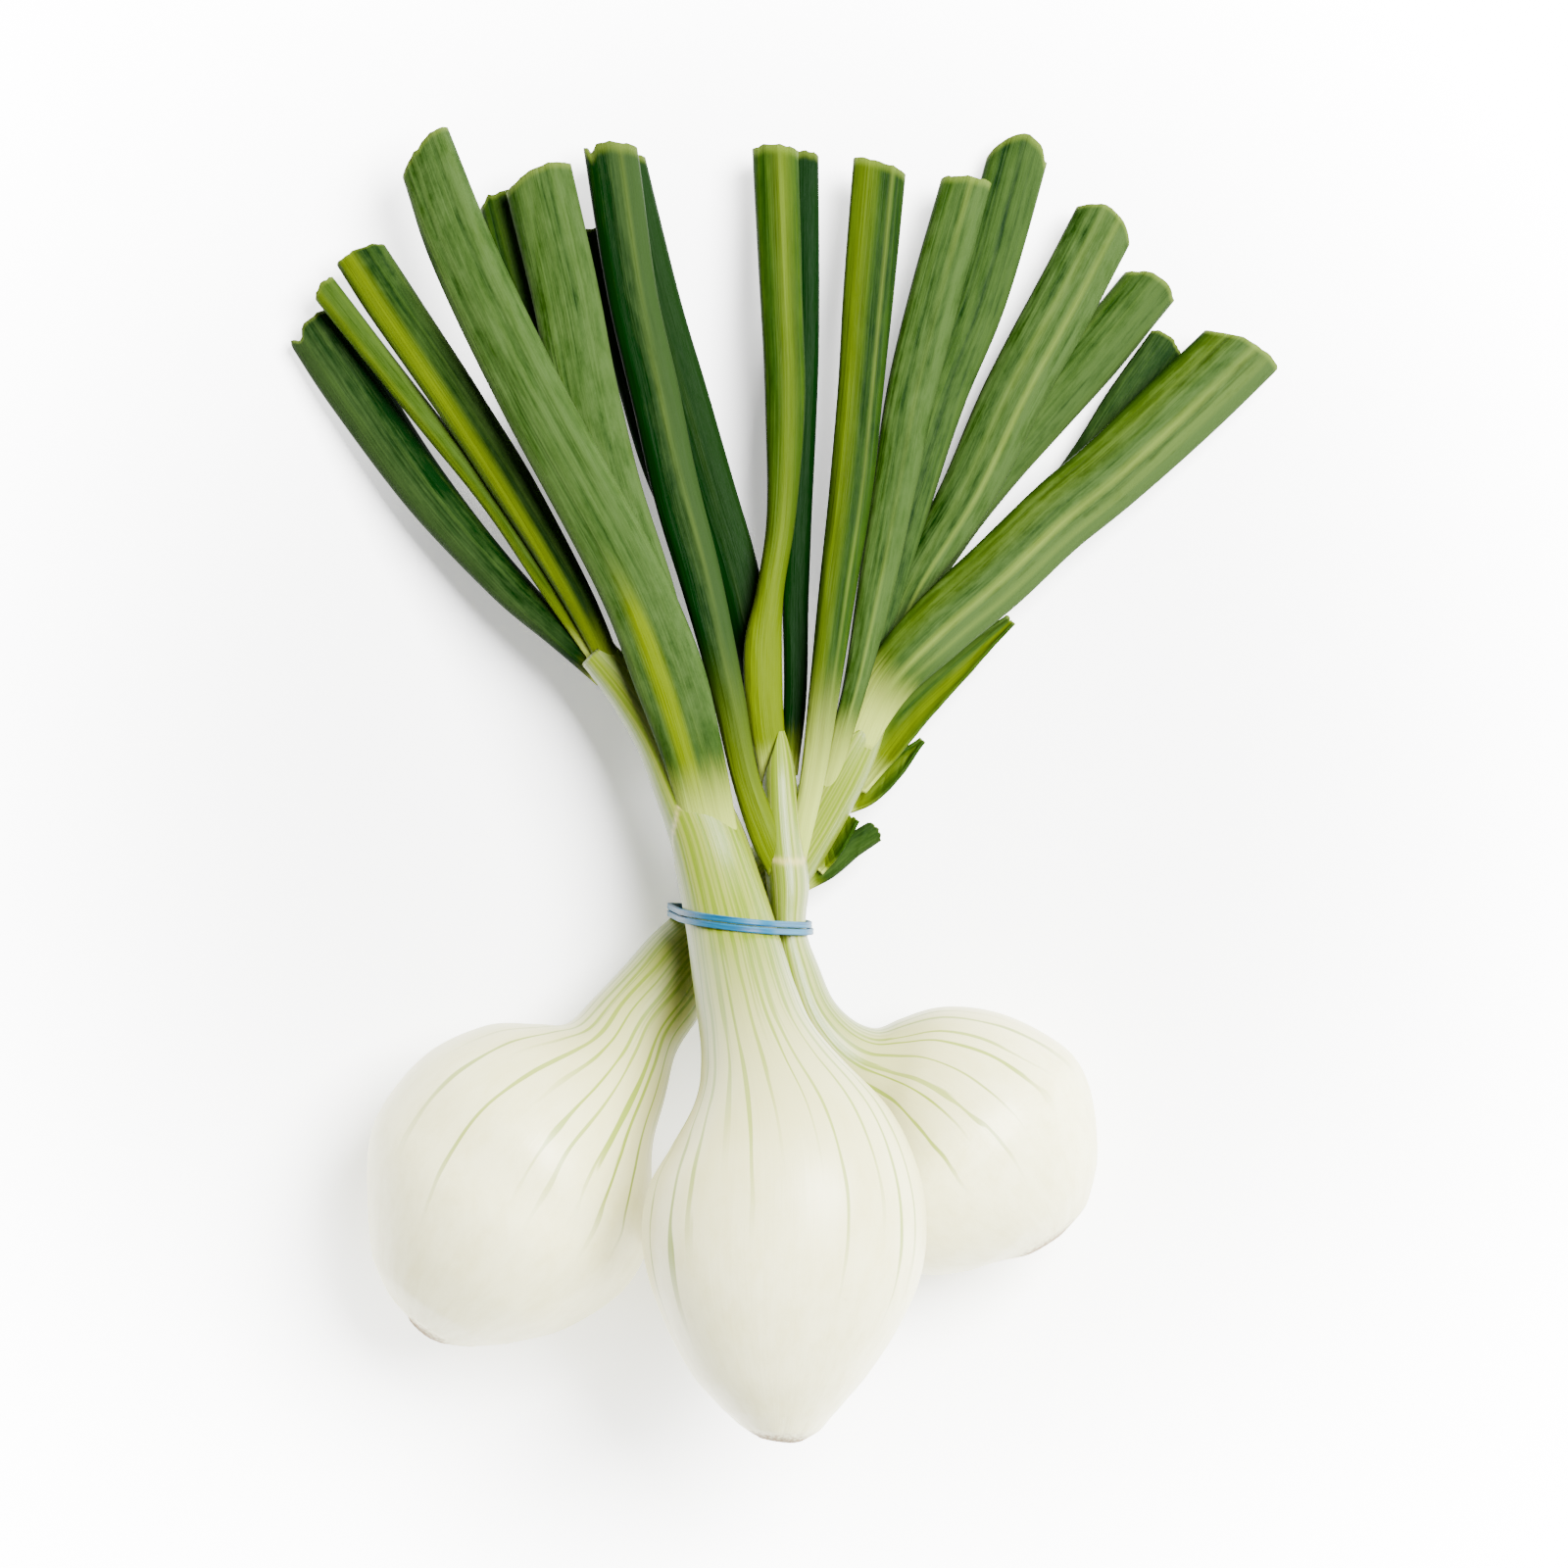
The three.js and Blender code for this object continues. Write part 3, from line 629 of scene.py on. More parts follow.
def makeLeafSkin():
    s = leafSkin
    material, tree, shader = newMaterial("leafSkin", Specular_IOR_Level=s["gloss"])
    across = mark(tree, "across")
    reach = mark(tree, "reach")
    fibre = placeGroup(
        tree, fibreGroup, acrossMm=mark(tree, "acrossMm"), alongMm=mark(tree, "alongMm"),
        seed=mark(tree, "seed"),
    )

    def sway(name, amount):
        return calc(tree, "MULTIPLY", calc(tree, "SUBTRACT", fibre[name], 0.5), amount)

    def fading(name, low, amount, least):  # 1 at the root to 0 at the marked place, broken up by the fibres
        end = mark(tree, name)
        streaked = calc(tree, "ADD", reach, sway("fine", s["fadeStreaks"]))
        near = calc(tree, "SUBTRACT", 1.0, ramp(tree, streaked, calc(tree, "MULTIPLY", end, low), end))
        uneven = calc(tree, "MULTIPLY_ADD", fibre["fine"], amount, least)
        return calc(tree, "MULTIPLY", near, uneven, clamp=True)

    tone = mark(tree, "tone")
    for name, amount in s["toneSway"].items():
        tone = calc(tree, "ADD", tone, sway(name, amount), clamp=(name == "patch"))
    colour = blend(tree, ramp(tree, tone, 0.0, 0.5), tint(s["deep"]), tint(s["mid"]))
    colour = blend(tree, ramp(tree, tone, 0.4, 1.0), colour, tint(s["light"]))
    # Wax bloom and painted sheen: a pale grey-green mix, partly the leaf's own bloom and partly standing in
    # for its soft sheen.
    waxAndSheen = calc(tree, "MULTIPLY_ADD", calc(tree, "MULTIPLY", across, mark(tree, "waxAndSheenSide")), *s["waxAndSheenSides"])
    for name, amount in s["waxAndSheenSway"].items():
        waxAndSheen = calc(tree, "ADD", waxAndSheen, sway(name, amount), clamp=(name == "broad"))
    waxAndSheen = calc(tree, "MULTIPLY", waxAndSheen, mark(tree, "waxAndSheen"))
    waxAndSheen = calc(tree, "MULTIPLY", waxAndSheen, ramp(tree, reach, *s["waxAndSheenStart"]))
    colour = blend(tree, waxAndSheen, colour, tint(s["waxAndSheen"]))
    off = calc(tree, "ABSOLUTE", calc(tree, "SUBTRACT", across, mark(tree, "stripeAt")))
    stripe = calc(tree, "SUBTRACT", 1.0, ramp(tree, off, s["stripeCore"], mark(tree, "stripeWide")))
    stripeEnd = mark(tree, "stripeEnd")
    ended = ramp(tree, reach, calc(tree, "MULTIPLY", stripeEnd, s["stripeFade"]), stripeEnd)
    strength = calc(tree, "MULTIPLY", mark(tree, "stripe"), calc(tree, "SUBTRACT", 1.0, ended))
    stripe = calc(tree, "MULTIPLY", stripe, strength)
    ribbed = calc(tree, "MULTIPLY_ADD", fibre["broad"], *s["stripeRibs"])
    stripe = calc(tree, "MULTIPLY", stripe, ribbed, clamp=True)
    colour = blend(tree, stripe, colour, tint(s["lime"]))
    colour = blend(tree, fading("lime", *s["limeFade"]), colour, tint(s["lime"]))
    colour = blend(tree, fading("pale", *s["paleFade"]), colour, tint(s["pale"]))
    # Pale lines along the creases, in the rim colour: partly a pale fold, partly a painted highlight along
    # the ridge.
    creaseAndHighlight = calc(tree, "MULTIPLY", mark(tree, "creaseAndHighlight"), s["creaseAndHighlightMost"])
    colour = blend(tree, creaseAndHighlight, colour, tint(s["rim"]))
    rim = calc(tree, "MULTIPLY", ramp(tree, reach, s["rimFrom"], 1.0), s["rimMost"])
    fill(tree, shader.inputs["Base Color"], blend(tree, rim, colour, tint(s["rim"])))
    fill(tree, shader.inputs["Roughness"], calc(tree, "MULTIPLY_ADD", waxAndSheen, *s["rough"]))
    emboss(tree, shader, calc(tree, "ADD", fibre["fine"], sway("broad", 1.5)), s["relief"], 0.6)
    return material


def makeLeafLining():
    s = leafSkin
    material, tree, shader = newMaterial("leafLining", Specular_IOR_Level=s["liningGloss"])
    fibre = placeGroup(
        tree, fibreGroup, acrossMm=mark(tree, "acrossMm"), alongMm=mark(tree, "alongMm"), seed=9.0,
    )
    fill(tree, shader.inputs["Base Color"], blend(tree, fibre["fine"], tint(s["lining"]), tint(s["rim"])))
    return material


# Each leaf's middle line from the root to the cut end, half widths and half depths spaced evenly along it,
# how far the middle of the cut end stands out, and how far its right side does. A torn leaf is an open
# strip.
leaves = {
    "front": {
        "top": {
            "route": [
                [-13, -17, 32.5], [-18, 4, 33.2], [-23.4, 22, 34.4], [-31, 41, 33.6],
                [-52.2, 80.5, 27.5], [-66.8, 111, 21.5], [-73.9, 130, 17.5],
            ],
            "wide": [5, 6.2, 7.4, 7.2, 7.1, 6.9, 6.2],
            "deep": [1.8, 2.4, 3, 3, 2.9, 2.7, 2.5],
            "crown": 2, "slant": 3.4,
        },
        "middle": {
            "route": [
                [-17, -4, 25], [-20.4, 13, 25.6], [-27.6, 35, 25.4], [-36, 60, 22], [-41, 80, 18.8],
                [-45, 100.5, 15.6], [-50.8, 125.2, 12],
            ],
            "wide": [3.2, 4, 6.4, 7, 7.1, 7.2, 7.3],
            "deep": [1.6, 2.2, 2.8, 2.9, 2.9, 2.8, 2.7],
            "crown": 2, "slant": 1.6,
        },
        "under": {
            "route": [
                [-18, -2, 21], [-22, 15, 17.8], [-31, 42, 15], [-40.5, 61, 12.8], [-48.8, 85, 10],
                [-54, 103, 7.8], [-58.8, 121.8, 5.6],
            ],
            "wide": [2.6, 3.6, 4.6, 5, 5.2, 5.2, 5],
            "deep": [1.6, 2.2, 2.5, 2.6, 2.6, 2.5, 2.4],
            "crown": 1, "slant": 1,
        },
        "outer": {
            "route": [
                [-36, 22, 22], [-45.6, 30.5, 20], [-56, 40, 15.6], [-73.6, 60, 9.6],
                [-88.4, 80.8, 5.2], [-98.2, 95.4, 3],
            ],
            "wide": [3, 3.2, 4, 5.4, 6.2, 6.2],
            "deep": [2, 2.4, 2.7, 2.9, 3, 3],
            "crown": 1.2, "slant": 0.8,
        },
        "slim": {
            "route": [
                [-37, 24, 24], [-48.4, 40.6, 21.4], [-60.4, 58.4, 16.8], [-70.2, 70.8, 14],
                [-81.8, 85.4, 11.4], [-95.4, 102.8, 9.4],
            ],
            "wide": [1.8, 2.1, 2.2, 2.4, 2.7, 2.9],
            "deep": [1.5, 1.6, 1.7, 1.7, 1.7, 1.6],
            "crown": 1, "slant": 0.8,
        },
        "bright": {
            "route": [
                [-34, 21, 26], [-41.6, 37, 24.8], [-55, 60, 19.4], [-68.2, 80.4, 15.2],
                [-81.9, 100.6, 11.6], [-87.8, 109.7, 10.4],
            ],
            "wide": [2.2, 3.2, 4.4, 5, 5.5, 5.4],
            "deep": [1.8, 2.1, 2.4, 2.6, 2.6, 2.5],
            "crown": 1, "slant": -0.8,
        },
    },
    "right": {
        "long": {
            "route": [
                [-0.2, -19, 30.5], [-3.6, -11, 31.4], [-7.8, 1, 30.2], [-11.8, 20, 27],
                [-16.6, 40, 24], [-22.2, 60.4, 21], [-26.6, 80.6, 18.2], [-31.2, 100.6, 15.4],
                [-36, 131.8, 11.2],
            ],
            "wide": [2.6, 3.2, 2.9, 3.5, 4.4, 5, 5.1, 5.2, 5.6],
            "deep": [1.4, 1.9, 2.2, 2.4, 2.6, 2.7, 2.7, 2.6, 2.5],
            "crown": 0.8, "slant": -0.8,
        },
        "shaded": {
            "route": [
                [-2, 1, 21.4], [-4.6, 20, 18.6], [-9.8, 44, 16], [-14.8, 60.4, 13.8],
                [-20.6, 80.6, 11], [-26.6, 101, 8.4], [-33.4, 130, 5.4],
            ],
            "wide": [2.2, 3.4, 4.6, 4.9, 5, 5, 4.6],
            "deep": [1.6, 2.2, 2.5, 2.6, 2.6, 2.5, 2.4],
            "crown": 0.6, "slant": -0.6,
        },
        "hidden": {
            "route": [
                [-3, -3, 19.6], [-9.4, 20, 14.4], [-16, 42, 11.6], [-25.6, 64, 9.8], [-31, 82, 8],
                [-35.6, 101, 6], [-39, 115, 4.8],
            ],
            "wide": [1.8, 2.2, 2.8, 3.2, 3.4, 3.4, 3.2],
            "deep": [1.4, 1.6, 1.8, 1.9, 2, 2, 1.9],
            "crown": 0.6, "slant": -0.6,
        },
        "centre": {
            "route": [
                [-1.8, 0, 24.8], [-3.8, 14, 25], [-4.3, 28, 24.6], [-2.8, 40, 23], [-0.7, 54, 20.8],
                [0.2, 80, 17.2], [-0.6, 101, 14.2], [-1.8, 131.4, 10],
            ],
            "wide": [2.8, 3.8, 4, 2.9, 3, 4.2, 4.5, 4.9],
            "deep": [1.8, 2.4, 2.8, 2.8, 2.7, 2.7, 2.6, 2.5],
            "crown": 0.8, "slant": -0.4,
        },
        "dark": {
            "route": [
                [1, 1, 21.6], [2.3, 18, 19.2], [2.4, 40, 16.4], [3.2, 60, 13.4], [4.2, 81, 10.8],
                [4.6, 101, 8.6], [4.6, 131, 5.6],
            ],
            "wide": [1.8, 2.4, 2.8, 2.8, 2.8, 2.8, 2.7],
            "deep": [1.5, 1.9, 2.1, 2.1, 2.1, 2, 2],
            "crown": 0.5, "slant": -0.3,
        },
        "upright": {
            "route": [
                [2.2, -17, 28.4], [5.8, 1, 27.6], [8.4, 20, 26], [11, 40, 23.8], [13.7, 60, 21.4],
                [15.7, 80.4, 18.4], [17.4, 101, 15.6], [19.8, 128, 12],
            ],
            "wide": [2, 2.6, 3.2, 3.9, 4.6, 4.8, 5.3, 5.6],
            "deep": [1.5, 2, 2.3, 2.5, 2.7, 2.7, 2.6, 2.5],
            "crown": 0.4, "slant": -1.2,
        },
    },
    "left": {
        "inner": {
            "route": [
                [8.4, -4, 19.4], [11.6, 9, 22.6], [14.8, 21, 22.8], [18.8, 40, 21.2],
                [22.6, 60.4, 18.8], [26.2, 80.6, 16], [31.2, 101, 13.4], [37.8, 125, 10.4],
            ],
            "wide": [1.8, 2.2, 2.6, 3.8, 4.6, 5.2, 5.4, 5.2],
            "deep": [1.4, 1.9, 2.2, 2.5, 2.7, 2.7, 2.6, 2.5],
            "crown": 0.6, "slant": 0.9,
        },
        "tall": {
            "route": [
                [11, 1, 17], [16, 21, 17], [21, 40, 15.2], [26.6, 60.4, 12.8], [33, 80.8, 10],
                [40.6, 101.4, 7.4], [48.6, 130.2, 4.2],
            ],
            "wide": [2, 3, 3.8, 4.6, 5.1, 5.9, 6.4],
            "deep": [1.6, 2.2, 2.6, 2.7, 2.7, 2.6, 2.6],
            "crown": 5.2, "slant": 1.2,
        },
        "striped": {
            "route": [
                [14, 7, 16], [18.4, 20, 11.8], [26.2, 40, 11], [38, 60.4, 11.4], [47.6, 80.8, 11],
                [58.5, 101, 9.8], [66.2, 115.8, 8.8],
            ],
            "wide": [2, 2.8, 3.8, 5.8, 6.6, 6.9, 6.8],
            "deep": [1.6, 2.2, 2.6, 2.9, 3, 2.9, 2.8],
            "crown": 3.8, "slant": -0.8,
        },
        "low": {
            "route": [
                [12, 4, 13.4], [17.4, 19, 6.6], [25.2, 36, 5], [33.4, 50, 4.6], [42.6, 63.4, 4.3],
                [54.2, 77.6, 3.9], [65.4, 90.6, 3.4], [76.2, 103.7, 3.2],
            ],
            "wide": [2, 2.6, 3.4, 4.2, 5, 5.7, 6.1, 6],
            "deep": [1.6, 2, 2.4, 2.6, 2.8, 3, 3.1, 3.2],
            "crown": 2.7, "slant": 1,
        },
        "tucked": {
            "route": [
                [14, 6, 13.2], [22, 23, 11.6], [35.6, 39, 9.6], [53.2, 54.4, 7.2], [63.4, 67.4, 6],
                [71.2, 79.6, 5], [79.6, 91.6, 4.4],
            ],
            "wide": [1.8, 2.6, 3.4, 4, 4.3, 4.4, 4.2],
            "deep": [1.4, 1.8, 2.1, 2.2, 2.3, 2.3, 2.2],
            "crown": 1.6, "slant": -0.6,
        },
        "broad": {
            "route": [
                [15, 7, 20.6], [21.4, 21, 20.4], [31, 31.6, 19.2], [44, 43.2, 17.2], [56.6, 55.2, 15],
                [67, 63.8, 13.6], [83, 78.6, 11.4], [94.8, 90, 10.2],
            ],
            "wide": [3, 5.4, 6.8, 7.5, 7.7, 8, 8.3, 8.2],
            "deep": [2, 2.8, 3.1, 3.2, 3.2, 3.2, 3.1, 3],
            "crown": 2.2, "slant": 2.8,
        },
        "split": {
            "route": [
                [14, 0, 16.4], [19.4, 7.6, 15.6], [25.6, 15.2, 14.8], [35.6, 24.4, 13.6], [47, 34, 12],
            ],
            "wide": [3, 4, 4.2, 2.8, 0.7],
            "deep": [1.4, 1.5, 1.4, 1.1, 0.7],
            "crown": 0, "slant": 0, "torn": True,
        },
        "shred": {
            "route": [[11, -5, 14.4], [17, -2, 13.2], [23, 3.6, 12.4], [28.6, 9, 11.4]],
            "wide": [2, 2.6, 2.4, 0.8],
            "deep": [1.2, 1.2, 1, 0.7],
            "crown": 0, "slant": 0, "torn": True,
        },
        "stump": {
            "route": [[6.4, -17.6, 13.6], [9.6, -13, 14.4], [13.6, -7, 15]],
            "wide": [2, 2.8, 2.2],
            "deep": [1.2, 1.3, 1.2],
            "crown": 0.4, "slant": 0.4, "torn": True,
        },
        "stub": {
            "route": [[3.4, -21, 12], [9, -17.4, 12.2], [14, -13, 12.6], [18.8, -9.8, 12.8]],
            "wide": [1.8, 2.4, 2.5, 2.4],
            "deep": [1.2, 1.6, 1.8, 1.7],
            "crown": 0.8, "slant": 0,
        },
    },
}

# How each leaf looks: tone from dark to light, wax bloom with a painted sheen and the side that both are
# stronger on, mostly the side towards the light as painted light, a yellow-green stripe (where across, how
# wide, how strong, how far up), how far up the root's yellow-green and pale parts reach, creases (where
# across, how deep, how wide, how pale, the pale line partly a painted highlight along the ridge), and nicks
# in the cut end (where across, how wide, how deep). What isn't given is as in plain.
plain = {
    "tone": 0.4, "waxAndSheen": 0.4, "waxAndSheenSide": 0, "stripe": [0, 0.3, 0, 2], "lime": 0.12, "pale": 0.06,
    "creases": [], "nicks": [],
}
leafLooks = {
    "front": {
        "top": {
            "tone": 0.5, "waxAndSheen": 0.85, "waxAndSheenSide": 0.15, "stripe": [-0.25, 0.4, 1.6, 0.55],
            "lime": 0.18, "pale": 0.19,
            "creases": [[0.3, 0.25, 0.12, 0], [-0.5, 0.25, 0.1, 0]],
            "nicks": [[0.8, 0.2, -0.4], [-0.2, 0.15, 0.6]],
        },
        "middle": {
            "tone": 0.55, "waxAndSheen": 0.85, "waxAndSheenSide": 0.25, "lime": 0.2, "pale": 0.08,
            "creases": [[-0.35, 0.2, 0.1, 0], [0.5, 0.15, 0.08, 0]],
        },
        "under": {
            "tone": 0.3, "waxAndSheen": 0.15,
            "nicks": [[-0.5, 0.2, -0.8]],
        },
        "outer": {
            "tone": 0.05, "waxAndSheen": 0.45, "waxAndSheenSide": -0.9, "lime": 0.12,
            "nicks": [[-0.6, 0.22, 1.6], [-0.9, 0.12, -0.4]],
        },
        "slim": {
            "tone": 0.8, "waxAndSheen": 0.4, "waxAndSheenSide": 0.4, "stripe": [-0.6, 0.5, 0.5, 2], "lime": 0.25,
            "pale": 0.12,
        },
        "bright": {
            "tone": 0.35, "waxAndSheen": 0.35, "waxAndSheenSide": 0.2, "stripe": [-0.5, 0.6, 1.0, 2], "lime": 0.2,
            "pale": 0.08,
            "creases": [[0.1, 0.15, 0.08, 0]],
        },
    },
    "right": {
        "long": {
            "tone": -0.15, "waxAndSheen": 0.4, "waxAndSheenSide": 1.7, "lime": 0.46, "pale": 0.05,
            "creases": [[0.3, -0.3, 0.06, 0.55], [-0.3, 0.2, 0.1, 0]],
            "nicks": [[-0.72, 0.14, 2.2]],
        },
        "shaded": {
            "tone": -0.25, "waxAndSheen": 0.08, "waxAndSheenSide": 1.2,
            "creases": [[-0.1, -0.2, 0.06, 0.2]],
        },
        "hidden": {"tone": 0.0, "waxAndSheen": 0.1},
        "centre": {
            "tone": 0.45, "waxAndSheen": 0.15, "waxAndSheenSide": 0.6, "stripe": [0.2, 0.7, 0.5, 2], "lime": 0.75,
            "pale": 0.1,
            "creases": [[0.1, -0.35, 0.06, 1.1]],
        },
        "dark": {"tone": -0.35, "waxAndSheen": 0.02},
        "upright": {
            "tone": 0.4, "waxAndSheen": 0.12, "waxAndSheenSide": 1.0, "stripe": [-0.5, 0.7, 0.5, 2], "lime": 0.25,
            "pale": 0.34,
            "creases": [[0.5, -0.2, 0.06, 0.4], [-0.1, 0.25, 0.08, 0]],
        },
    },
    "left": {
        "inner": {
            "tone": 0.5, "waxAndSheen": 0.75, "waxAndSheenSide": 0.4, "lime": 0.2, "pale": 0.25,
            "creases": [[0.15, -0.3, 0.06, 0.7], [-0.5, 0.15, 0.1, 0]],
        },
        "tall": {
            "tone": 0.35, "waxAndSheen": 0.5, "waxAndSheenSide": 0.4, "lime": 0.18, "pale": 0.08,
            "nicks": [[0.9, 0.1, 1.2]],
            "creases": [[0.2, 0.2, 0.1, 0]],
        },
        "striped": {
            "tone": 0.45, "waxAndSheen": 0.85, "waxAndSheenSide": 0.3, "lime": 0.15, "pale": 0.08,
            "creases": [[-0.15, 0.25, 0.07, 0.3], [0.35, -0.25, 0.06, 0.7]],
        },
        "low": {
            "tone": 0.35, "waxAndSheen": 0.65, "waxAndSheenSide": 0.5,
            "creases": [[0.1, 0.15, 0.08, 0]],
        },
        "tucked": {"tone": 0.1, "waxAndSheen": 0.3, "waxAndSheenSide": -0.3},
        "broad": {
            "tone": 0.35, "waxAndSheen": 0.85, "waxAndSheenSide": 0.8, "stripe": [-0.6, 0.5, 0.2, 2], "lime": 0.12,
            "pale": 0.2,
            "creases": [[0.22, -0.35, 0.06, 1.0], [0.6, 0.2, 0.08, 0.4], [-0.35, 0.2, 0.08, 0]],
        },
        "split": {
            "tone": 0.6, "waxAndSheen": 0.3, "waxAndSheenSide": -0.8, "stripe": [0.5, 0.6, 0.9, 2], "lime": 0.5,
            "pale": 0.25,
        },
        "shred": {"tone": 0.5, "waxAndSheen": 0.1, "stripe": [0, 0.9, 0.5, 2], "lime": 0.5, "pale": 0.2},
        "stump": {"tone": 0.5, "waxAndSheen": 0.1, "stripe": [0, 0.9, 0.5, 2], "lime": 0.5, "pale": 0.2},
        "stub": {"tone": 0.35, "waxAndSheen": 0.4, "lime": 0.3, "pale": 0.2},
    },
}
leafBuild = {
    "columns": 40,
    "rows": 96,
    "wall": 0.75,
    "round": 0.86,  # 1 is an ellipse, nearer 0 is squarer
    "torn": 0.85,  # how much a torn strip curls
    "shrink": 0.985,  # keeps the leaf just inside the solid
    "least": 0.5,
    "waver": 0.018,
    "creaseWaver": 0.04,
    "bumps": 0.1,
    "cutUneven": 0.22,
    "rootEnd": 0.01,
}


def leafPoints(key, leaf, look, t, u):
    b = leafBuild
    route = leaf["route"]
    turn = 2 * np.pi * u - np.pi / 2
    ahead, side, up = frameOn(route, t)
    waver = 1 + b["waver"] * ripple(key, 9 * t) * smooth(0.1, 0.3, t)
    closing = np.sqrt(np.clip(t / b["rootEnd"], 0, 1))
    wide = np.maximum(along(leaf["wide"], t), b["least"]) * waver * b["shrink"]
    deep = np.maximum(along(leaf["deep"], t), b["least"]) * b["shrink"]
    if leaf.get("torn"):  # an open, curled strip
        s = 2 * u - 1
        rise = deep * b["torn"] * (1.6 * s**2 - 0.7 + 0.15 * ripple(key + "curl", 6 * t + 2 * s))
        top = np.ones_like(s)
    else:
        s = np.sign(np.cos(turn)) * np.abs(np.cos(turn)) ** b["round"]
        rise = deep * np.sign(np.sin(turn)) * np.abs(np.sin(turn)) ** b["round"]
        top = smooth(-0.2, 0.4, np.sin(turn))
    pale = 0 * t
    # Each crease dents or raises the leaf and marks a pale line, partly a pale fold, partly a painted
    # highlight.
    for place, depth, width, light in look["creases"]:
        off = s - place - b["creaseWaver"] * ripple(key + str(place), 5 * t)
        line = np.exp(-((off / width) ** 2)) * smooth(0.06, 0.2, t)
        rise = rise - depth * line * top
        pale = np.maximum(pale, light * line * top)
    rise = rise + b["bumps"] * ripple(key + "bumps", 22 * t + 3 * s) * smooth(0.05, 0.2, t)
    reach = smooth(0.7, 1, t) * (leaf["crown"] * (1 - s**2) + leaf["slant"] * s)
    reach = reach + smooth(0.95, 1, t) * b["cutUneven"] * ripple(key + "cut", 9 * s)
    for place, width, depth in look["nicks"]:
        reach = reach - smooth(0.9, 1, t) * depth * np.exp(-(((s - place) / width) ** 2))
    points = pointOn(route, t) + side * (s * wide * closing)[:, None]
    points += up * (rise * closing)[:, None] + ahead * reach[:, None]
    points[:, 2] = np.maximum(points[:, 2], drawing["floorGap"])
    stripeAt, stripeWide, stripe, stripeEnd = look["stripe"]
    marks = {
        "across": s,
        "acrossMm": s * wide,
        "reach": t,
        "alongMm": t * lengthOf(route),
        "seed": random.Random(key).uniform(0, 50),
        "tone": look["tone"],
        "waxAndSheen": look["waxAndSheen"],
        # the side where the wax and its painted sheen are stronger, mostly towards the light: painted light
        "waxAndSheenSide": look["waxAndSheenSide"],
        "stripeAt": stripeAt,
        "stripeWide": stripeWide,
        "stripe": stripe,
        "stripeEnd": stripeEnd,
        "lime": look["lime"],
        "pale": look["pale"],
        "creaseAndHighlight": pale,
    }
    return points, marks


def makeLeaf(onion, name, materials):
    key = onion + "_" + name
    leaf = leaves[onion][name]
    piece, u, v = startPiece("blade_" + key, leafBuild["columns"], leafBuild["rows"])
    points, marks = leafPoints(key, leaf, {**plain, **leafLooks[onion][name]}, v, u)
    layPoints(piece, points, marks)
    giveWall(piece, leafBuild["wall"], lining=1)
    finishPiece(piece, "leaf_" + key, "onion_leaf", *materials)


leafMaterials = (makeLeafSkin(), makeLeafLining())
for onion, names in leaves.items():
    for name in names:
        makeLeaf(onion, name, leafMaterials)
print("leaves made")

# Rubber band

band = {  # one loop wound twice round the necks, in the slanting plane y = level + lean x + tip z
    "level": -28.15,
    "lean": -0.11,
    "tip": -0.025,
    "wide": 1.3,
    "thick": 0.85,
    "apart": 1.5,
    "gap": 0.25,
    "steps": 160,
    "sides": 20,
    "corners": 0.55,  # 1 is an ellipse, nearer 0 is squarer
    "start": 0.75,  # where round the necks the loop begins
    "outline": 240,  # points round the necks
    "softened": 6,  # how often its corners are rounded
    "sag": 0.12,
    "sagWide": 0.25,
    "crossing": (0.1, 0.22),  # how near the middle of the loop one strand climbs over the other
    "crossingBlunt": 0.02,
    "mmRound": 120,
    "light": "005672",
    "dark": "00304e",
}


def crossings(rows, shift):  # where a bulb's lengthwise lines pass through the band's plane
    x, y, z = rows[:, :, 0], rows[:, :, 1], rows[:, :, 2]
    above = y - shift - band["level"] - band["lean"] * x - band["tip"] * z
    low, high = above[:-1], above[1:]
    hit = low * high <= 0
    f = (low / (low - high + 1e-12))[hit][:, None]
    points = rows[:-1][hit] * (1 - f) + rows[1:][hit] * f
    return points[:, [0, 2]]


def hullOf(points):  # the convex outline round the points, anticlockwise
    def half(ordered):
        kept = []
        for p in ordered:
            while len(kept) > 1:
                a, b = kept[-2:]
                if (b[0] - a[0]) * (p[1] - a[1]) - (b[1] - a[1]) * (p[0] - a[0]) > 0:
                    break
                kept.pop()
            kept.append(p)
        return kept[:-1]

    ordered = sorted(map(tuple, points))
    return np.array(half(ordered) + half(ordered[::-1]))


def bandPath():  # round all three necks, as wide as the band needs
    reach = (band["apart"] + band["wide"]) / 2
    found = [crossings(rows, shift) for rows in bulbRows.values() for shift in (-reach, 0, reach)]
    hull = hullOf(np.vstack(found))
    closed = np.vstack([hull, hull[:1]])
    lengths = np.concatenate([[0], np.cumsum(np.linalg.norm(np.diff(closed, axis=0), axis=1))])
    even = np.linspace(0, lengths[-1], band["outline"] + 1)[:-1]
    line = np.stack([np.interp(even, lengths, closed[:, k]) for k in (0, 1)], 1)
    for _ in range(band["softened"]):
        line = (np.roll(line, 1, 0) + 2 * line + np.roll(line, -1, 0)) / 4
    return line


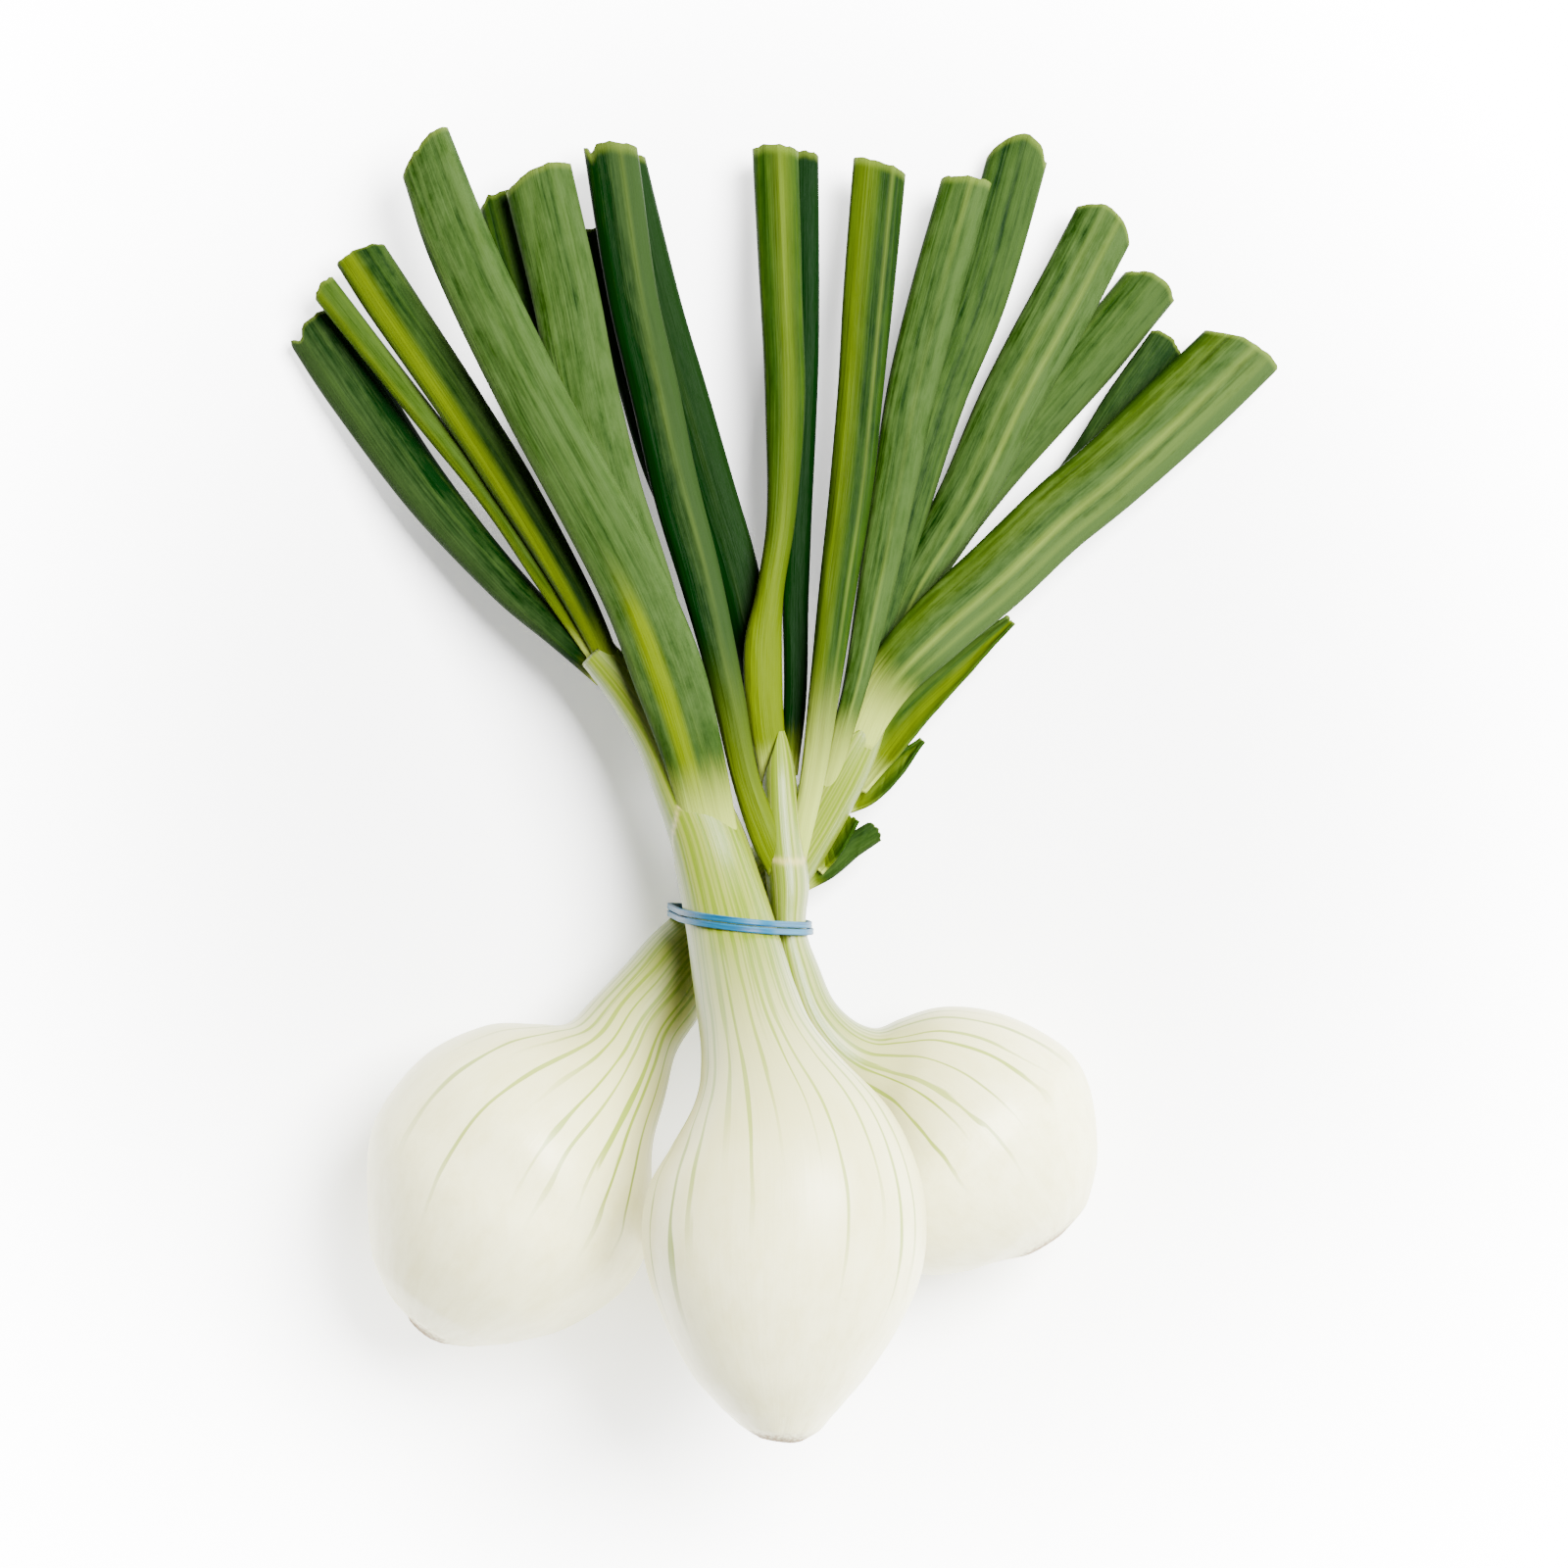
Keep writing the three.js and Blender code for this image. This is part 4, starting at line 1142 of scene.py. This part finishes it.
def makeBand(material):
    line = bandPath()
    piece, u, v = startPiece("band", band["sides"], 2 * band["steps"])
    turns = 2 * v
    place = (turns + band["start"]) % 1 * len(line)
    i = place.astype(int) % len(line)
    w = (place - np.floor(place))[:, None]
    flat = line[i] * (1 - w) + line[(i + 1) % len(line)] * w
    heading = line[(i + 2) % len(line)] - line[(i - 1) % len(line)]
    heading /= np.linalg.norm(heading, axis=1)[:, None]
    out = np.stack([heading[:, 1], 0 * v, -heading[:, 0]], 1)
    step = (1 - smooth(*band["crossing"], np.abs(turns - 0.5))) * (band["thick"] + band["gap"])
    away = band["gap"] + band["thick"] / 2 + step
    centre = np.stack([flat[:, 0], 0 * v, flat[:, 1]], 1) + out * away[:, None]
    centre[:, 1] = band["level"] + band["lean"] * centre[:, 0] + band["tip"] * centre[:, 2]
    strand = np.cos(np.pi * turns)
    blunt = band["crossingBlunt"] * (1 - strand**2)
    centre[:, 1] += band["apart"] / 2 * strand / np.sqrt(strand**2 + blunt)
    angle = 2 * np.pi * u
    wideway = np.sign(np.sin(angle)) * np.abs(np.sin(angle)) ** band["corners"] * band["wide"] / 2
    outway = np.sign(np.cos(angle)) * np.abs(np.cos(angle)) ** band["corners"] * band["thick"] / 2
    outway = outway - band["sag"] * np.exp(-((wideway / band["sagWide"]) ** 2)) * (outway > 0)
    points = centre + out * outway[:, None] + np.array([0, 1.0, 0]) * wideway[:, None]
    layPoints(piece, points, {"alongMm": turns * band["mmRound"], "acrossMm": wideway})
    finishPiece(piece, "rubber_band", "band_rubber", material)


def makeRubber():
    material, tree, shader = newMaterial("bandRubber", Roughness=0.42, Specular_IOR_Level=0.2)
    fibre = placeGroup(
        tree, fibreGroup, acrossMm=calc(tree, "MULTIPLY", mark(tree, "acrossMm"), 1.4),
        alongMm=calc(tree, "MULTIPLY", mark(tree, "alongMm"), 2.0), seed=4.0,
    )
    colour = blend(tree, ramp(tree, fibre["fine"], 0.3, 0.7), tint(band["dark"]), tint(band["light"]))
    fill(tree, shader.inputs["Base Color"], colour)
    emboss(tree, shader, fibre["fine"], 0.0002, 0.4)
    return material


makeBand(makeRubber())
print("band made")

# Floor, light and camera

studio = {
    "floor": "ffffff",
    "floorSize": 6,
    "worldStrength": 0.26,
    "glow": 10.0,  # the floor glows as a light in a ring round the bunch, though it is no lamp
    # the glow near the bunch is lower, as painted shade round it
    "glowNearPaintedShade": 0.05,
    "glowFrom": 0.08,
    "glowTo": 0.26,
    "glowEnd": 0.25,
    "glowFade": 0.1,
    "glowFar": 0.08,
    "keyPlace": (0.6, 0.4, 1.2),
    "keySize": 0.75,
    "keyPower": 172.0,
    "lens": 135,
    "distance": 1.2,
    "lookHeight": 0.03,
    "clipEnd": 20,
}


def makeFloor():
    bpy.ops.mesh.primitive_plane_add(size=studio["floorSize"])
    floor = bpy.context.object
    floor.name = "floor"
    material, tree, shader = newMaterial("glowingFloor", Roughness=0.9)
    shader.inputs["Base Color"].default_value = tint(studio["floor"])
    place = tree.nodes.new("ShaderNodeTexCoord").outputs["Object"]
    away = tree.nodes.new("ShaderNodeVectorMath")
    away.operation = "LENGTH"
    tree.links.new(place, away.inputs[0])
    # Glowing floor: low glow near the bunch as painted shade, then a bright ring that lights the bunch,
    # then dim.
    far = ramp(tree, away.outputs["Value"], studio["glowFrom"], studio["glowTo"])
    glow = blend(tree, far, [studio["glowNearPaintedShade"]] * 3 + [1], tint(studio["floor"]))
    past = ramp(tree, away.outputs["Value"], studio["glowEnd"], studio["glowEnd"] + studio["glowFade"])
    glow = blend(tree, past, glow, [studio["glowFar"]] * 3 + [1])
    fill(tree, shader.inputs["Emission Color"], glow)
    shader.inputs["Emission Strength"].default_value = studio["glow"]
    floor.data.materials.append(material)


def makeLight():
    world = bpy.data.worlds.new("studio")
    world.use_nodes = True
    world.node_tree.nodes["Background"].inputs["Color"].default_value = (1, 1, 1, 1)
    world.node_tree.nodes["Background"].inputs["Strength"].default_value = studio["worldStrength"]
    bpy.context.scene.world = world
    place = Vector(studio["keyPlace"])
    bpy.ops.object.light_add(type="AREA", location=place, rotation=place.to_track_quat("Z", "Y").to_euler())
    key = bpy.context.object
    key.data.size = studio["keySize"]
    key.data.energy = studio["keyPower"]


def makeCamera():
    x, y, _ = toFrame([0, 0, 0])
    height = studio["lookHeight"] + studio["distance"]
    bpy.ops.object.camera_add(location=(x, y, height), rotation=(0, 0, 0))
    camera = bpy.context.object
    camera.data.lens = studio["lens"]
    camera.data.clip_end = studio["clipEnd"]
    bpy.context.scene.camera = camera


makeFloor()
makeLight()
makeCamera()
print("studio made")
